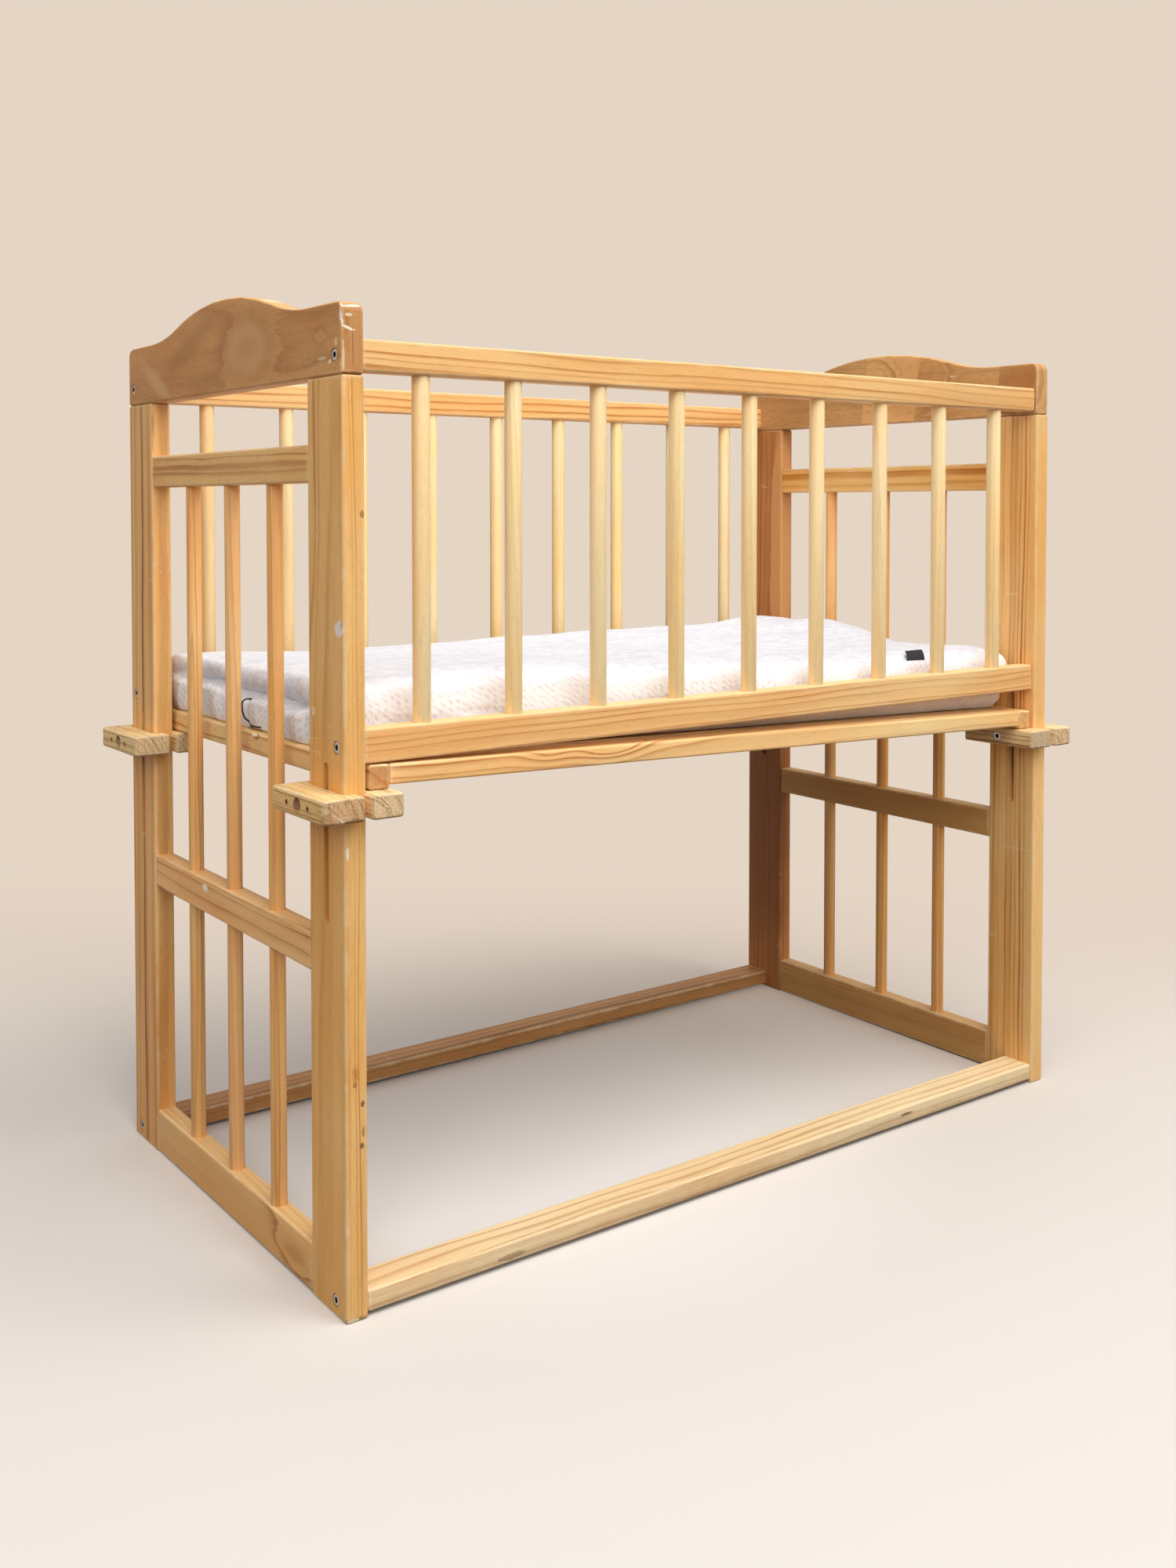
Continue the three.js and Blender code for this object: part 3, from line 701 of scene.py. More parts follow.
for endName in ends:
    for railKind in ("upper_rail", "middle_rail", "floor_rail"):
        railName = f"{railKind}_{endName}"
        dressNode(railName, {**endRailLook, **railLooks.get(railName, {})})
for sideName in sides:
    for railKind, kindLook in (("top_rail", sideRailLook), ("bottom_rail", sideRailLook),
                               ("floor_stretcher", stretcherLook)):
        railName = f"{railKind}_{sideName}"
        dressNode(railName, {**kindLook, **railLooks.get(railName, {})})
print("stage: posts, headboards and rails")


# Platform and its height clamps

platformLook = {
    "light": "ffdf9f", "warm": "ffc881", "ring": 0.0110, "dark": "bd6f2c", "wobble": 0.024, "wear": 0.35,
    "pithSide": (0, 0.6, 1), "lean": 0.02, "ringStrength": 0.95, "endShade": "e2b277", "endSpeckle": 0.4,
}
platformLooks = {
    "platform_long_rail_front": {
        "figures": (
            figure((-0.1846, -0.247, 0.4619), (0.045, 0.03, 0.016), 0.018),
            figure((-0.2569, -0.247, 0.4615), (0.030, 0.03, 0.012), 0.010),
        ),
    },
    "platform_end_rail_left": {"endShade": "cf9862", "flecks": 0.2},
}
baseBoardLook = {
    "light": "c79a66", "warm": "b98a58", "dark": "9c7245", "ringStrength": 0.1, "pores": 0.5, "coat": 0.0,
    "roughness": 0.7, "wear": 0.0, "scratches": 0.0,
}
clampLook = {
    "light": "ffe6ac", "warm": "fdd494", "dark": "b87a3a", "ring": 0.0058, "pith": 0.035,
    "pithSide": (0.7, 0, 0.7), "ringStrength": 1.1, "topHighlight": 0.2, "wear": 0.75, "wearWidth": 0.003,
    "chips": 0.9, "flecks": 0.2, "endShade": "f7d6a6", "endSpeckle": 0.75, "roughness": 0.68, "coat": 0.0,
    "bump": 0.9,
}
clampLooks = {
    "clamp_inner_right_front": {"ridges": 1.0, "endShade": "cf9c60"},
    "clamp_outer_left_front": {
        "light": "ffd896", "warm": "f6c27e", "topHighlight": 0.35, "topLight": "ffe4a6", "endShade": "e6bb8c",
        "marks": (
            patch((-0.4800, -0.2660, 0.4340), (0.0008, 0.004, 0.0090), "f8e3bd", 0.8, turn=(0, 0.9, 0)),
            patch((-0.4660, -0.2660, 0.4300), (0.0100, 0.006, 0.0028), "7d5429", 0.7),
            patch((-0.4943, -0.2660, 0.4289), (0.0140, 0.006, 0.0130), "bb8852", 0.6),
        ),
    },
}


paintedBoreShade = {
    "size": (0.016, 0.0074, 0.0074), "colour": "7a4b28", "strength": 0.6, "rough": 0.12, "core": 0.85,
}
paintedPilotShade = {**paintedBoreShade, "size": (0.014, 0.0027, 0.0027), "strength": 0.85}
pilotOffset = 0.020


def boreShadeMarks(endName, sideName):
    # The nut bore and the two pilot holes are painted dark inside: painted shade
    middle = middleOf(f"clamp_bolt_{endName}_{sideName}")
    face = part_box(f"clamp_outer_{endName}_{sideName}")[int(ends[endName] > 0)].x
    pilots = [middle.y + side * pilotOffset for side in sides.values()]
    marks = [{"at": (face, y, middle.z), **paintedPilotShade} for y in pilots]
    return [{"at": (face, middle.y, middle.z), **paintedBoreShade}, *marks]


for endName in ends:
    railName = f"platform_end_rail_{endName}"
    dressNode(railName, {**platformLook, "pithSide": (0.4, 0, 1), **platformLooks.get(railName, {})})
for sideName in sides:
    railName = f"platform_long_rail_{sideName}"
    dressNode(railName, {**platformLook, **platformLooks.get(railName, {})})
dressNode("base_board", baseBoardLook)
for endName, sideName in corners:
    for blockKind in ("clamp_outer", "clamp_inner"):
        blockName = f"{blockKind}_{endName}_{sideName}"
        look = {**clampLook, **clampLooks.get(blockName, {})}
        if blockKind == "clamp_outer":
            look["marks"] = (*boreShadeMarks(endName, sideName), *look.get("marks", ()))
        dressNode(blockName, look)
print("stage: platform and clamps")


# Modelling helpers

def pick(piece):
    bpy.ops.object.select_all(action="DESELECT")
    piece.select_set(True)
    bpy.context.view_layer.objects.active = piece


def settle(piece, name, body, material=None):
    pick(piece)
    bpy.ops.object.transform_apply()
    piece.name = name
    piece.data.name = name
    if material:
        piece.data.materials.clear()
        piece.data.materials.append(material)
    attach(piece, body)
    return piece


def copyPiece(source, matrix):
    piece = source.copy()
    piece.data = source.data.copy()
    piece.data.transform(matrix)
    scene.collection.objects.link(piece)
    return piece


def applyModifier(piece, kind, **settings):
    modifier = piece.modifiers.new(kind.lower(), kind)
    for key, value in settings.items():
        setattr(modifier, key, value)
    bpy.context.view_layer.objects.active = piece
    bpy.ops.object.modifier_apply(modifier=modifier.name)


def setMode(mode):
    bpy.ops.object.mode_set(mode=mode)


def roundEdges(piece, width, segments, degrees):
    applyModifier(piece, "BEVEL", width=width, segments=segments, limit_method="ANGLE",
                  angle_limit=math.radians(degrees))


def cutAway(piece, tool):
    applyModifier(piece, "BOOLEAN", object=tool, operation="DIFFERENCE", solver="EXACT")
    bpy.data.objects.remove(tool)


def smoothUnder(degrees):
    bpy.ops.object.shade_smooth_by_angle(angle=math.radians(degrees))


def selectParts(piece, kind, wanted):
    bpy.ops.mesh.select_mode(type=kind)
    bpy.ops.mesh.select_all(action="DESELECT")
    mesh = bmesh.from_edit_mesh(piece.data)
    for part in mesh.faces if kind == "FACE" else mesh.edges:
        part.select = wanted(part)
    bmesh.update_edit_mesh(piece.data)


# Spindles: turned rods with eased ends, modelled once for the sides and once for the ends

spindleLook = {"vertices": 40, "ease": 0.0012, "smooth": 35.0}
sideSpindleWood = {
    "light": "ffe8b2", "warm": "ffd896", "dark": "e0a860", "ring": 0.008, "ringStrength": 0.35, "pith": 0.03,
    "pores": 0.14, "flecks": 0.06, "blotch": 0.14, "wear": 0.0, "chips": 0.0, "lean": 0.03, "scratches": 0.2,
    "coat": 0.2,
}
endSpindleWood = {
    "light": "fcc67e", "warm": "f2ac5e", "dark": "b3702f", "ring": 0.0065, "ringStrength": 0.6, "pith": 0.03,
    "wear": 0.0, "chips": 0.0, "lean": 0.015,
}


def modelSpindle(box):
    low, high = box
    size = high - low
    bpy.ops.mesh.primitive_cylinder_add(vertices=spindleLook["vertices"], radius=size.x / 2, depth=size.z,
                                        location=(low + high) / 2)
    spindle = bpy.context.object
    roundEdges(spindle, spindleLook["ease"], 2, 60)
    smoothUnder(spindleLook["smooth"])
    bpy.ops.object.transform_apply()
    return spindle


def addSpindles(names, body, wood):
    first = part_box(names[0])
    source = modelSpindle(first)
    for name in names:
        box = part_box(name)
        spindle = copyPiece(source, Matrix.Translation(box[0] - first[0]))
        settle(spindle, "turned_" + name, body, woodMaterial(name, box, wood))
        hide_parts(name)
    bpy.data.objects.remove(source)


sideNames = [f"side_spindle_{s}_{i}" for s in sides for i in range(1, 10)]
endNames = [f"end_spindle_{e}_{i}" for e in ends for i in range(1, 4)]
addSpindles(sideNames, "frame", sideSpindleWood)
addSpindles(endNames, "frame", endSpindleWood)
print("stage: spindles")


# Bolts and nuts of zinc-plated steel

boltLook = {
    "vertices": 40, "shank": 0.003, "head": 0.005, "headHeight": 0.006, "ease": 0.0006, "socket": 0.0029,
    "socketDepth": 0.0035, "joiningLength": 0.058, "recess": 0.0004, "colour": "d2d4d6", "stainAndShade": "a3a5a6",
    "socketShades": ("1e1d1c", "3a3733"), "roughness": 0.38,
}
nutLook = {"acrossCorners": 0.0058, "thick": 0.005, "bore": 0.00305, "ease": 0.0004, "fromTail": 0.0027}


def zincMaterial():
    material, tree, shader = newMaterial("zincPlate")
    place = objectPlace(tree)
    cloud = noiseOf(place, 420, 3.0)
    turned = noiseOf(mapped(place, scale=(1, 1, 0.2)), 3000, 1.0)
    feedAll(shader, {
        "Base Color": mixColour(smoothStep(cloud, 0.35, 0.75), boltLook["colour"], boltLook["stainAndShade"]),
        "Metallic": 1.0, "Roughness": timesPlus(cloud, 0.2, boltLook["roughness"]),
        "Normal": bumpOf(turned, 0.15, 0.0001),
    })
    return material


def socketShadeMaterial():
    # Painted shade in the hexagon sockets: dark colours stand in for their shadow
    material, tree, shader = newMaterial("socketGrease")
    mottle = smoothStep(noiseOf(objectPlace(tree), 900), 0.35, 0.65)
    colour = mixColour(mottle, *boltLook["socketShades"])
    feedAll(shader, {"Base Color": colour, "Roughness": timesPlus(mottle, 0.2, 0.5)})
    return material


def modelBolt(length, zinc, shadow):
    # Head top at the origin, shank down along -Z
    look = boltLook
    depth = length - look["headHeight"]
    bpy.ops.mesh.primitive_cylinder_add(vertices=look["vertices"], radius=look["shank"], depth=depth,
                                        location=(0, 0, -look["headHeight"] - depth / 2))
    bolt = bpy.context.object
    bpy.ops.object.transform_apply()
    setMode("EDIT")
    selectParts(bolt, "FACE", lambda face: face.normal.z > 0.9)
    bpy.ops.mesh.extrude_region_move(TRANSFORM_OT_translate={"value": (0, 0, 0)})
    grow = look["head"] / look["shank"]
    bpy.ops.transform.resize(value=(grow, grow, 1), center_override=(0, 0, -look["headHeight"]))
    bpy.ops.mesh.extrude_region_move(TRANSFORM_OT_translate={"value": (0, 0, look["headHeight"])})
    setMode("OBJECT")
    roundEdges(bolt, look["ease"], 3, 60)
    bpy.ops.mesh.primitive_cylinder_add(vertices=6, radius=look["socket"], depth=2 * look["socketDepth"])
    cutAway(bolt, bpy.context.object)
    pick(bolt)
    smoothUnder(35)
    bolt.data.materials.append(zinc)
    bolt.data.materials.append(shadow)
    # Faces inside the hexagon socket take the painted shade
    for face in bolt.data.polygons:
        spot = face.center
        within = math.hypot(spot.x, spot.y) < look["socket"]
        face.material_index = int(within and -look["socketDepth"] * 1.01 < spot.z < -0.0001)
    return bolt


def modelNut():
    look = nutLook
    bpy.ops.mesh.primitive_cylinder_add(vertices=6, radius=look["acrossCorners"], depth=look["thick"])
    nut = bpy.context.object
    bpy.ops.mesh.primitive_cylinder_add(vertices=32, radius=look["bore"], depth=3 * look["thick"])
    cutAway(nut, bpy.context.object)
    roundEdges(nut, look["ease"], 2, 50)
    pick(nut)
    smoothUnder(35)
    return nut


def pointed(x, place, end):
    # At an X and level with a place, turned towards an end
    return Matrix.Translation((x, place.y, place.z)) @ Matrix.Rotation(end * math.pi / 2, 4, "Y")


def addBolts():
    zinc = zincMaterial()
    shadow = socketShadeMaterial()
    joining = modelBolt(boltLook["joiningLength"], zinc, shadow)
    outside = postFace - boltLook["recess"]
    for endName, sideName in corners:
        for railKind in ("top_rail", "bottom_rail", "floor_stretcher"):
            end = ends[endName]
            place = pointed(end * outside, middleOf(f"{railKind}_{sideName}"), end)
            name = f"joining_bolt_{railKind}_{sideName}_{endName}"
            settle(copyPiece(joining, place), name, "frame")
    low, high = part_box("clamp_bolt_right_front")
    clamping = modelBolt(high.x - low.x, zinc, shadow)
    nut = modelNut()
    nut.data.materials.append(zinc)
    for endName, sideName in corners:
        end = ends[endName]
        corner = f"{endName}_{sideName}"
        low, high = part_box("clamp_bolt_" + corner)
        headX, tailX = (high.x, low.x) if end < 0 else (low.x, high.x)
        place = pointed(headX, (low + high) / 2, -end)
        bolt = copyPiece(clamping, place)
        settle(bolt, "socket_bolt_" + corner, "clamp_" + corner)
        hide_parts("clamp_bolt_" + corner)
        nutX = tailX - end * (nutLook["fromTail"] + nutLook["thick"] / 2)
        place = pointed(nutX, (low + high) / 2, end)
        settle(copyPiece(nut, place), "clamp_nut_" + corner, "clamp_" + corner)
    for source in (joining, clamping, nut):
        bpy.data.objects.remove(source)


addBolts()
print("stage: bolts and nuts")


# Mattress in its quilted cover. It is shaped in the tilted platform's own space.

tiltJoint = next(joint for joint in frame["joints"] if joint["name"] == "platform_tilt")
platformTilt = math.radians(-tiltJoint["range_deg"][0])
platformSpace = Matrix.Translation(tiltJoint["pos_m"]) @ Matrix.Rotation(platformTilt, 4, "Y")
mattressLook = {
    "inset": 0.0015, "cornerRadius": 0.009, "rimRadius": 0.013, "voxel": 0.0064, "pressure": 4.0,
    "frames": 20, "cap": 0.004, "crown": 0.002,
    "seamIn": 0.013,          # from the pad's side to the seam in its top
    "seamDepth": 0.0042, "seamWidth": 0.0048, "sideBulge": 0.0026, "wave": 0.0005, "endRoll": 0.0045,
    "endPanel": 0.0092, "endCrease": 0.0095,
    "endReach": 0.0105,       # the left end stands out no further than this
    "gather": 0.0036, "cornerPull": (0.0098, 0.004, 0.005), "cornerReach": 0.016,
    "leftPull": (-0.001, 0.001, 0), "top": "fafbff", "hollowShade": "e6e8f3", "border": "fcfdff",
    "dimple": "f3e6ee", "endDimple": "e0e4ef",
    "cells": (95, 170, 170),  # of the top, to the metre
    "dots": (118.0, 150.0),   # of the border
    "seamWander": 0.003, "rimSwell": 0.0016, "footDraw": 0.002,
    "crease": (0.56, 0.2, 0.15),     # its level, its slope and how unevenly it runs
    "foldAt": 0.0178, "foldWidth": 0.0028, "foldDepth": 0.0035,
}
# How far the rumpled top stands above the flat one, at places along X or Y
topLifts = {
    "front": ((-0.433, 0.001), (-0.365, 0.006), (-0.267, 0.009), (-0.195, 0.008), (-0.165, 0.004),
              (-0.098, 0.0025), (-0.005, 0.004), (0.063, 0.0), (0.12, 0.003), (0.20, 0.0), (0.28, 0.004),
              (0.36, 0.002), (0.435, 0.005)),
    "back": ((-0.433, -0.0025), (-0.283, -0.0062), (-0.138, -0.0015), (0.0, 0.0045), (0.131, 0.0093),
             (0.264, 0.0128), (0.391, 0.0167), (0.435, 0.021)),
    "right": ((-0.219, 0.004), (-0.19, 0.009), (-0.115, 0.006), (-0.066, 0.005), (-0.027, 0.012),
              (0.010, 0.022), (0.06, 0.028), (0.123, 0.024), (0.185, 0.025), (0.219, 0.022)),
}
# Painted shadow: a dark tube along the gap of a flap on the left end
gapShadowLook = {
    "radius": 0.0008, "steps": 5, "cloth": ("1c1b1d", "2b2a2d", 900),
    "path": ((0.0140, 0.5000), (0.0190, 0.5005), (0.0240, 0.5000), (0.0245, 0.4960), (0.0240, 0.4887),
             (0.0215, 0.4810), (0.0170, 0.4765), (0.0090, 0.4752), (-0.0020, 0.4755), (-0.0120, 0.4760)),
}
loopLook = {
    "at": (-0.4434, -0.0205, 0.4703), "turn": (0.5, math.pi / 2, 0), "radius": 0.0048, "wide": 0.0048,
    "squash": 0.42, "thick": 0.0006, "cloth": ("e9dfc0", "cfc39a", 1200),
}
tagLook = {
    "x": 0.2875, "y": -0.2055, "size": (0.029, 0.0008, 0.0150), "lean": 0.35, "sag": 0.12,
    "ripple": 0.0009, "ripples": 190, "sunk": 0.0015, "cloth": ("1b1b1f", "3a3a42", 700),
}


def bumpAt(x, y, z):
    return noise.noise(Vector((x, y, z)))


def bell(distance, width):
    return math.exp(-(distance / width) ** 2)


def ease(value, low, high):
    share = min(1.0, max(0.0, (value - low) / (high - low)))
    return share * share * (3 - 2 * share)


def along(stops, value):
    for (first, before), (second, after) in zip(stops, stops[1:]):
        if value <= second:
            return before + (after - before) * ease(value, first, second)
    return stops[-1][1]


def topLift(x, y):
    across = ease(y, -0.2, 0.2)
    lengthwise = along(topLifts["front"], x) * (1 - across) + along(topLifts["back"], x) * across
    atEnd = ease(x, 0.30, 0.425)
    return lengthwise * (1 - atEnd) + along(topLifts["right"], y) * atEnd


def localBox(name):
    inverse = platformSpace.inverted()
    points = [inverse @ vertex.co for vertex in nodes[name].data.vertices]
    return [Vector([limit(point[i] for point in points) for i in range(3)]) for limit in (min, max)]


def modelMattress(low, high):
    look = mattressLook
    inset = Vector((look["inset"],) * 3)
    low, high = low + inset, high - inset
    low.z -= look["inset"]
    bpy.ops.mesh.primitive_cube_add(size=1, location=(low + high) / 2)
    pad = bpy.context.object
    pad.scale = high - low
    bpy.ops.object.transform_apply()
    setMode("EDIT")
    selectParts(pad, "EDGE", lambda edge: abs(edge.verts[0].co.z - edge.verts[1].co.z) > look["rimRadius"])
    bpy.ops.mesh.bevel(offset=look["cornerRadius"], segments=5)
    selectParts(pad, "EDGE", lambda edge: any(abs(face.normal.z) > 0.9 for face in edge.link_faces))
    bpy.ops.mesh.bevel(offset=look["rimRadius"], segments=4)
    setMode("OBJECT")
    pad.data.remesh_voxel_size = look["voxel"]
    bpy.ops.object.voxel_remesh()
    return pad


def puffMattress(pad):
    look = mattressLook
    rest = [vertex.co.copy() for vertex in pad.data.vertices]
    cloth = pad.modifiers.new("cloth", "CLOTH")
    cloth.settings.use_pressure = True
    cloth.settings.uniform_pressure_force = look["pressure"]
    cloth.settings.effector_weights.gravity = 0
    cloth.point_cache.frame_end = look["frames"]
    for step in range(1, look["frames"] + 1):
        scene.frame_set(step)
    bpy.context.view_layer.objects.active = pad
    bpy.ops.object.modifier_apply(modifier="cloth")
    scene.frame_set(1)
    for vertex, start in zip(pad.data.vertices, rest):
        move = vertex.co - start
        if move.length > look["cap"]:
            vertex.co = start + move.normalized() * look["cap"]
    pad.data.update()


def liftMattress(pad, low, high):
    # The top is raised or lowered to its rumpled height, the more the higher a point lies
    size = high - low
    middle = (low + high) / 2
    tops = [vertex.co.z for vertex in pad.data.vertices if vertex.normal.z > 0.9]
    swell = sum(tops) / len(tops) - high.z
    for vertex in pad.data.vertices:
        p = vertex.co
        u = (p.x - middle.x) / (size.x / 2)
        v = (p.y - middle.y) / (size.y / 2)
        spot = platformSpace @ p
        lift = topLift(spot.x, spot.y) + mattressLook["crown"] * (1 - u ** 4) * (1 - v ** 4) - swell
        p.z += lift * ease(p.z, low.z + 0.3 * size.z, high.z)
    pad.data.update()


def sewMattress(pad, low, high):
    look = mattressLook
    size = high - low
    normals = [vertex.normal.copy() for vertex in pad.data.vertices]
    border = pad.data.attributes.new("border", "FLOAT", "POINT")
    shares = []
    for vertex, normal in zip(pad.data.vertices, normals):
        p = vertex.co
        w = (p.z - low.z) / size.z
        level = 1 - ease(math.hypot(normal.x, normal.y), 0.3, 0.9)      # 1 on the top
        facing = float(normal.z > 0)
        leftEnd = ease(-normal.x, 0.35, 0.8)
        # Seam in the top, a little in from the front, back and right sides
        seamIn = look["seamIn"] + look["seamWander"] * bumpAt(p.x * 13, p.y * 13, 3.1)
        inside = min(p.y - low.y, high.y - p.y, high.x - p.x)
        groove = bell(inside - seamIn, look["seamWidth"]) * facing * ease(level, 0.1, 0.6)
        puff = bumpAt(p.x * 11, p.y * 11, 8.4)
        rim = look["rimSwell"] * (0.6 + puff) * ease(seamIn - inside, -0.002, 0.004) * facing
        push = rim - look["seamDepth"] * groove
        # Sides bulge between the rim and the drawn-in foot
        steep = 1 - level
        bulge = math.sin(math.pi * min(1.0, max(0.0, w))) * (0.7 + puff)
        drawn = look["footDraw"] * (1 - ease(w, 0.0, 0.25))
        push += steep * (1 - leftEnd) * (look["sideBulge"] * bulge - drawn)
        # The left end: the top rolls over it to a crease, below which the border is gathered
        creaseLevel, slope, uneven = look["crease"]
        crease = creaseLevel + slope * p.y + uneven * bumpAt(0.3, p.y * 14, 2.2)
        profile = look["endRoll"] * ease(w, crease, crease + 0.22)
        profile += look["endPanel"] * (1 - ease(w, crease - 0.14, crease))
        fromCorner = ease(min(p.y - low.y, high.y - p.y), 0.006, 0.04)
        profile += (look["endPanel"] - profile) * (1 - fromCorner)
        profile -= look["endCrease"] * bell(w - crease, 0.06) * fromCorner
        gather = bumpAt(1.3, p.y * 30, p.z * 14)
        gather += 0.5 * bumpAt(4.3, p.y * 75, p.z * 40)
        below = 1 - ease(w, crease - 0.1, crease + 0.05)
        fold = look["foldDepth"] * bell(p.y - look["foldAt"], look["foldWidth"]) * below
        push += leftEnd * (profile + look["gather"] * gather * (0.35 + 0.65 * below) - fold)
        shares.append(max(steep * (1 - leftEnd), facing * ease(seamIn - inside, -0.001, 0.001),
                          leftEnd * below, 1 - facing))
        # Slow waves along the quilted top
        wave = bumpAt(p.x * 14, p.y * 42, 1.9)
        wave += 0.6 * bumpAt(p.x * 30, p.y * 80, 6.3)
        push += look["wave"] * wave * level * facing
        vertex.co = p + normal * push
        # The right corners stand out like ears, a little below the top
        side = 1 if p.y > 0 else -1
        pulls = ((high.x, look["cornerPull"], ease(w, 0.3, 0.8)), (low.x, look["leftPull"], 1))
        for endX, (outX, outY, down), share in pulls:
            away = math.hypot(p.x - endX, p.y - (high.y if side > 0 else low.y))
            pull = bell(away, look["cornerReach"]) * share
            vertex.co += Vector((outX, outY * side, down * ease(w, 0.8, 1.1))) * pull
        vertex.co.x = max(vertex.co.x, low.x - look["endReach"])
        vertex.co.z = max(vertex.co.z, low.z)
    border.data.foreach_set("value", shares)
    pad.data.update()


def quiltMaterial():
    look = mattressLook
    material, tree, shader = newMaterial("quiltedCover")
    place = objectPlace(tree)
    share = tree.nodes.new("ShaderNodeAttribute")
    share.attribute_name = "border"
    sideShare = share.outputs["Fac"]

    # Top: small crinkled cells in long rows; their hollows are painted darker as painted shade
    warp = noiseOf(place, 60, colour=True)
    bent = vectorCalc("MULTIPLY_ADD", warp, (0.006, 0.004, 0.004), place)
    cells = newNode("TexVoronoi", mapped(bent, scale=look["cells"]), 1.0, 0.7,
                    into=("Vector", "Scale", "Smoothness"), feature="SMOOTH_F1")
    crinkle = restOf(cells.outputs["Distance"])
    rows = noiseOf(mapped(place, scale=(0.25, 1, 1)), 46)

    # Border: uneven dimples of an airy knit
    x, y, z = partsOf(vectorCalc("MULTIPLY_ADD", warp, (0.004, 0.004, 0.004), place))
    inward = plus(calc("ABSOLUTE", x), calc("ABSOLUTE", y))
    across, upright = look["dots"]
    grid = newNode("CombineXYZ", times(plus(x, y), across), times(timesPlus(inward, -0.6, z), upright))
    dots = newNode("TexVoronoi", grid.outputs[0], 1.0, 0.5, into=("Vector", "Scale", "Randomness"),
                   voronoi_dimensions="2D")
    dimple = restOf(smoothStep(dots.outputs["Distance"], 0.10, 0.46))
    patchy = smoothStep(noiseOf(place, 45), 0.4, 0.7)
    endShare = restOf(smoothStep(x, -0.430, -0.405))
    dimpleTone = times(dimple, calc("MAXIMUM", patchy, times(endShare, 0.8)))
    dimpleColour = mixColour(endShare, look["dimple"], look["endDimple"])

    # Painted shade: the hollows of the cells and the rows between them are darker
    topTone = times(smoothStep(crinkle, 0.2, 0.7), smoothStep(rows, 0.2, 0.55))
    topColour = mixColour(topTone, look["hollowShade"], look["top"])
    sideColour = mixColour(dimpleTone, look["border"], dimpleColour)
    thread = noiseOf(place, 1400)
    topHeight = timesPlus(thread, 0.15, times(crinkle, 0.6))
    sideHeight = timesPlus(thread, 0.25, times(dimple, -0.5))
    height = newNode("Mix", sideShare, topHeight, sideHeight, into=(0, 2, 3)).outputs[0]
    feedAll(shader, {
        "Base Color": mixColour(sideShare, topColour, sideColour), "Roughness": 0.92, "Sheen Weight": 0.2,
        "Sheen Roughness": 0.5, "Specular IOR Level": 0.2, "Normal": bumpOf(height, 0.6, 0.0012),
    })
    return material


def clothMaterial(name, first, second, grain):
    material, tree, shader = newMaterial(name)
    wave = newNode("TexWave", objectPlace(tree), grain, 1.0, into=("Vector", "Scale", "Distortion"))
    weave = wave.outputs["Fac"]
    feedAll(shader, {"Base Color": mixColour(weave, first, second), "Roughness": timesPlus(weave, 0.1, 0.75),
                     "Normal": bumpOf(weave, 0.4, 0.0002)})
    return material


def addMattress():
    low, high = localBox("mattress")
    pad = modelMattress(low, high)
    puffMattress(pad)
    liftMattress(pad, low, high)
    applyModifier(pad, "SUBSURF", levels=1, render_levels=1)
    sewMattress(pad, low, high)
    pad.data.transform(platformSpace)
    pick(pad)
    bpy.ops.object.shade_smooth()
    bpy.context.view_layer.update()
    settle(pad, "quilted_mattress", "mattress", quiltMaterial())
    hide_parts("mattress")
    print("  mattress:", len(pad.data.polygons), "faces")
    return pad


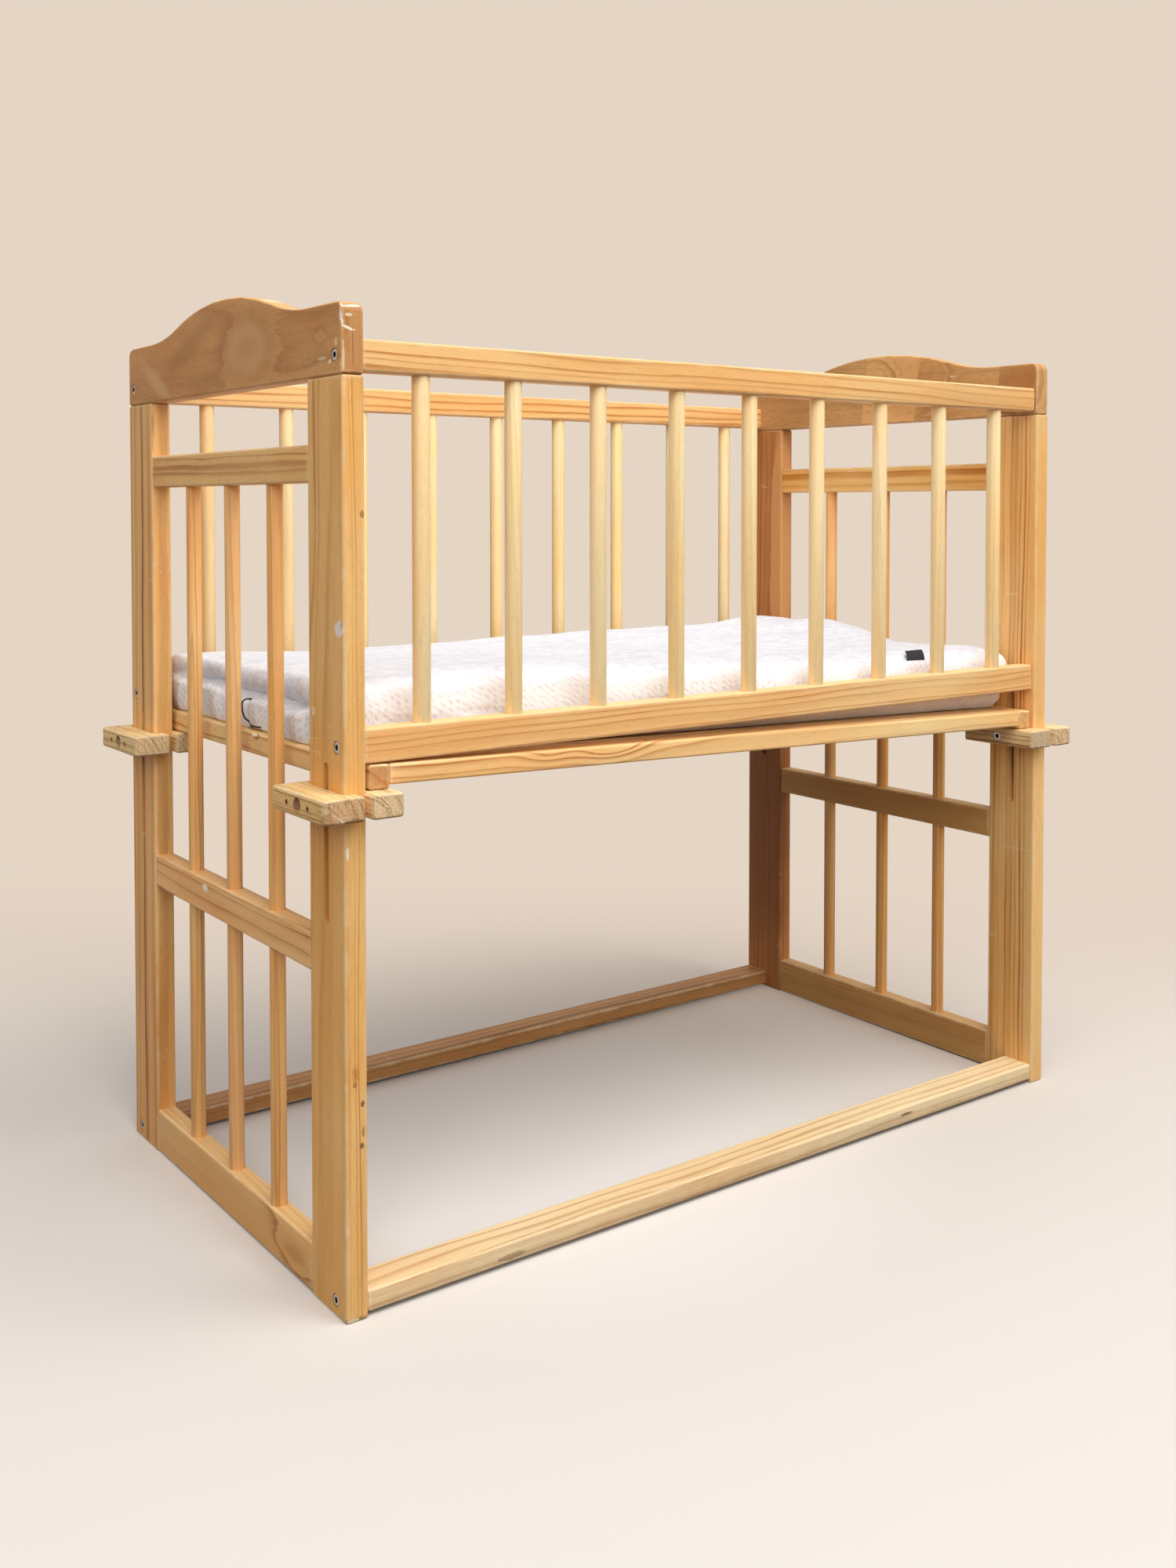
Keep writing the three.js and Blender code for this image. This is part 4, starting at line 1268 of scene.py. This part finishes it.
def addGapShadow(pad):
    # A dark tube on the left end is a painted shadow of the gap along a flap
    look = gapShadowLook
    bpy.ops.curve.primitive_nurbs_path_add()
    line = bpy.context.object
    spline = line.data.splines[0]
    spots = []
    for (y, z), (nextY, nextZ) in zip(look["path"], look["path"][1:]):
        for step in range(look["steps"]):
            share = step / look["steps"]
            origin = Vector((-0.5, y + (nextY - y) * share, z + (nextZ - z) * share))
            found, spot, normal, face = pad.ray_cast(origin, Vector((1, 0, 0)))
            if found:
                spots.append(spot + normal * look["radius"] * 0.6)
    spline.points.add(len(spots) - len(spline.points))
    for point, spot in zip(spline.points, spots):
        point.co = (*spot, 1)
    spline.use_endpoint_u = True
    line.data.bevel_depth = look["radius"]
    line.data.bevel_resolution = 2
    line.data.use_fill_caps = True
    pick(line)
    bpy.ops.object.convert(target="MESH")
    settle(line, "mattress_zip", "mattress", clothMaterial("zipTape", *look["cloth"]))


def addLoop():
    # Pull loop of pale ribbon below the painted shadow line
    look = loopLook
    bpy.ops.mesh.primitive_cylinder_add(vertices=28, radius=look["radius"], depth=look["wide"],
                                        end_fill_type="NOTHING", location=look["at"], rotation=look["turn"])
    loop = bpy.context.object
    setMode("EDIT")
    bpy.ops.mesh.select_all(action="SELECT")
    bpy.ops.transform.resize(value=(1, 1, look["squash"]), center_override=look["at"])
    setMode("OBJECT")
    applyModifier(loop, "SOLIDIFY", thickness=look["thick"])
    roundEdges(loop, look["thick"] / 4, 2, 30)
    smoothUnder(40)
    settle(loop, "mattress_loop", "mattress", clothMaterial("paleRibbon", *look["cloth"]))


def addTag(pad):
    # Blank folded tag in the front seam
    look = tagLook
    thick, tall = look["size"][1:]
    x = look["x"]
    spot = pad.ray_cast(Vector((x, look["y"], 0.7)), Vector((0, 0, -1)))[1]
    bpy.ops.mesh.primitive_cube_add(size=1, location=(x, spot.y, spot.z + tall / 2 - look["sunk"]))
    tag = bpy.context.object
    tag.scale = look["size"]
    bpy.ops.object.transform_apply()
    setMode("EDIT")
    selectParts(tag, "EDGE", lambda edge: True)
    bpy.ops.mesh.bevel(offset=thick / 3, segments=2)
    bpy.ops.mesh.select_all(action="SELECT")
    bpy.ops.mesh.subdivide(number_cuts=5)
    setMode("OBJECT")
    for vertex in tag.data.vertices:
        p = vertex.co
        rise = max(0.0, (p.z - spot.z) / tall)
        ripple = look["ripple"] * math.sin((p.x - x) * look["ripples"])
        p.y += look["lean"] * tall * rise * rise + ripple * rise
        p.z -= look["sag"] * tall * rise * rise
    tag.data.update()
    smoothUnder(50)
    settle(tag, "mattress_tag", "mattress", clothMaterial("tagRibbon", *look["cloth"]))


mattressPad = addMattress()
bpy.context.view_layer.update()
addGapShadow(mattressPad)
addLoop()
addTag(mattressPad)
print("stage: mattress")


print("stage: done")
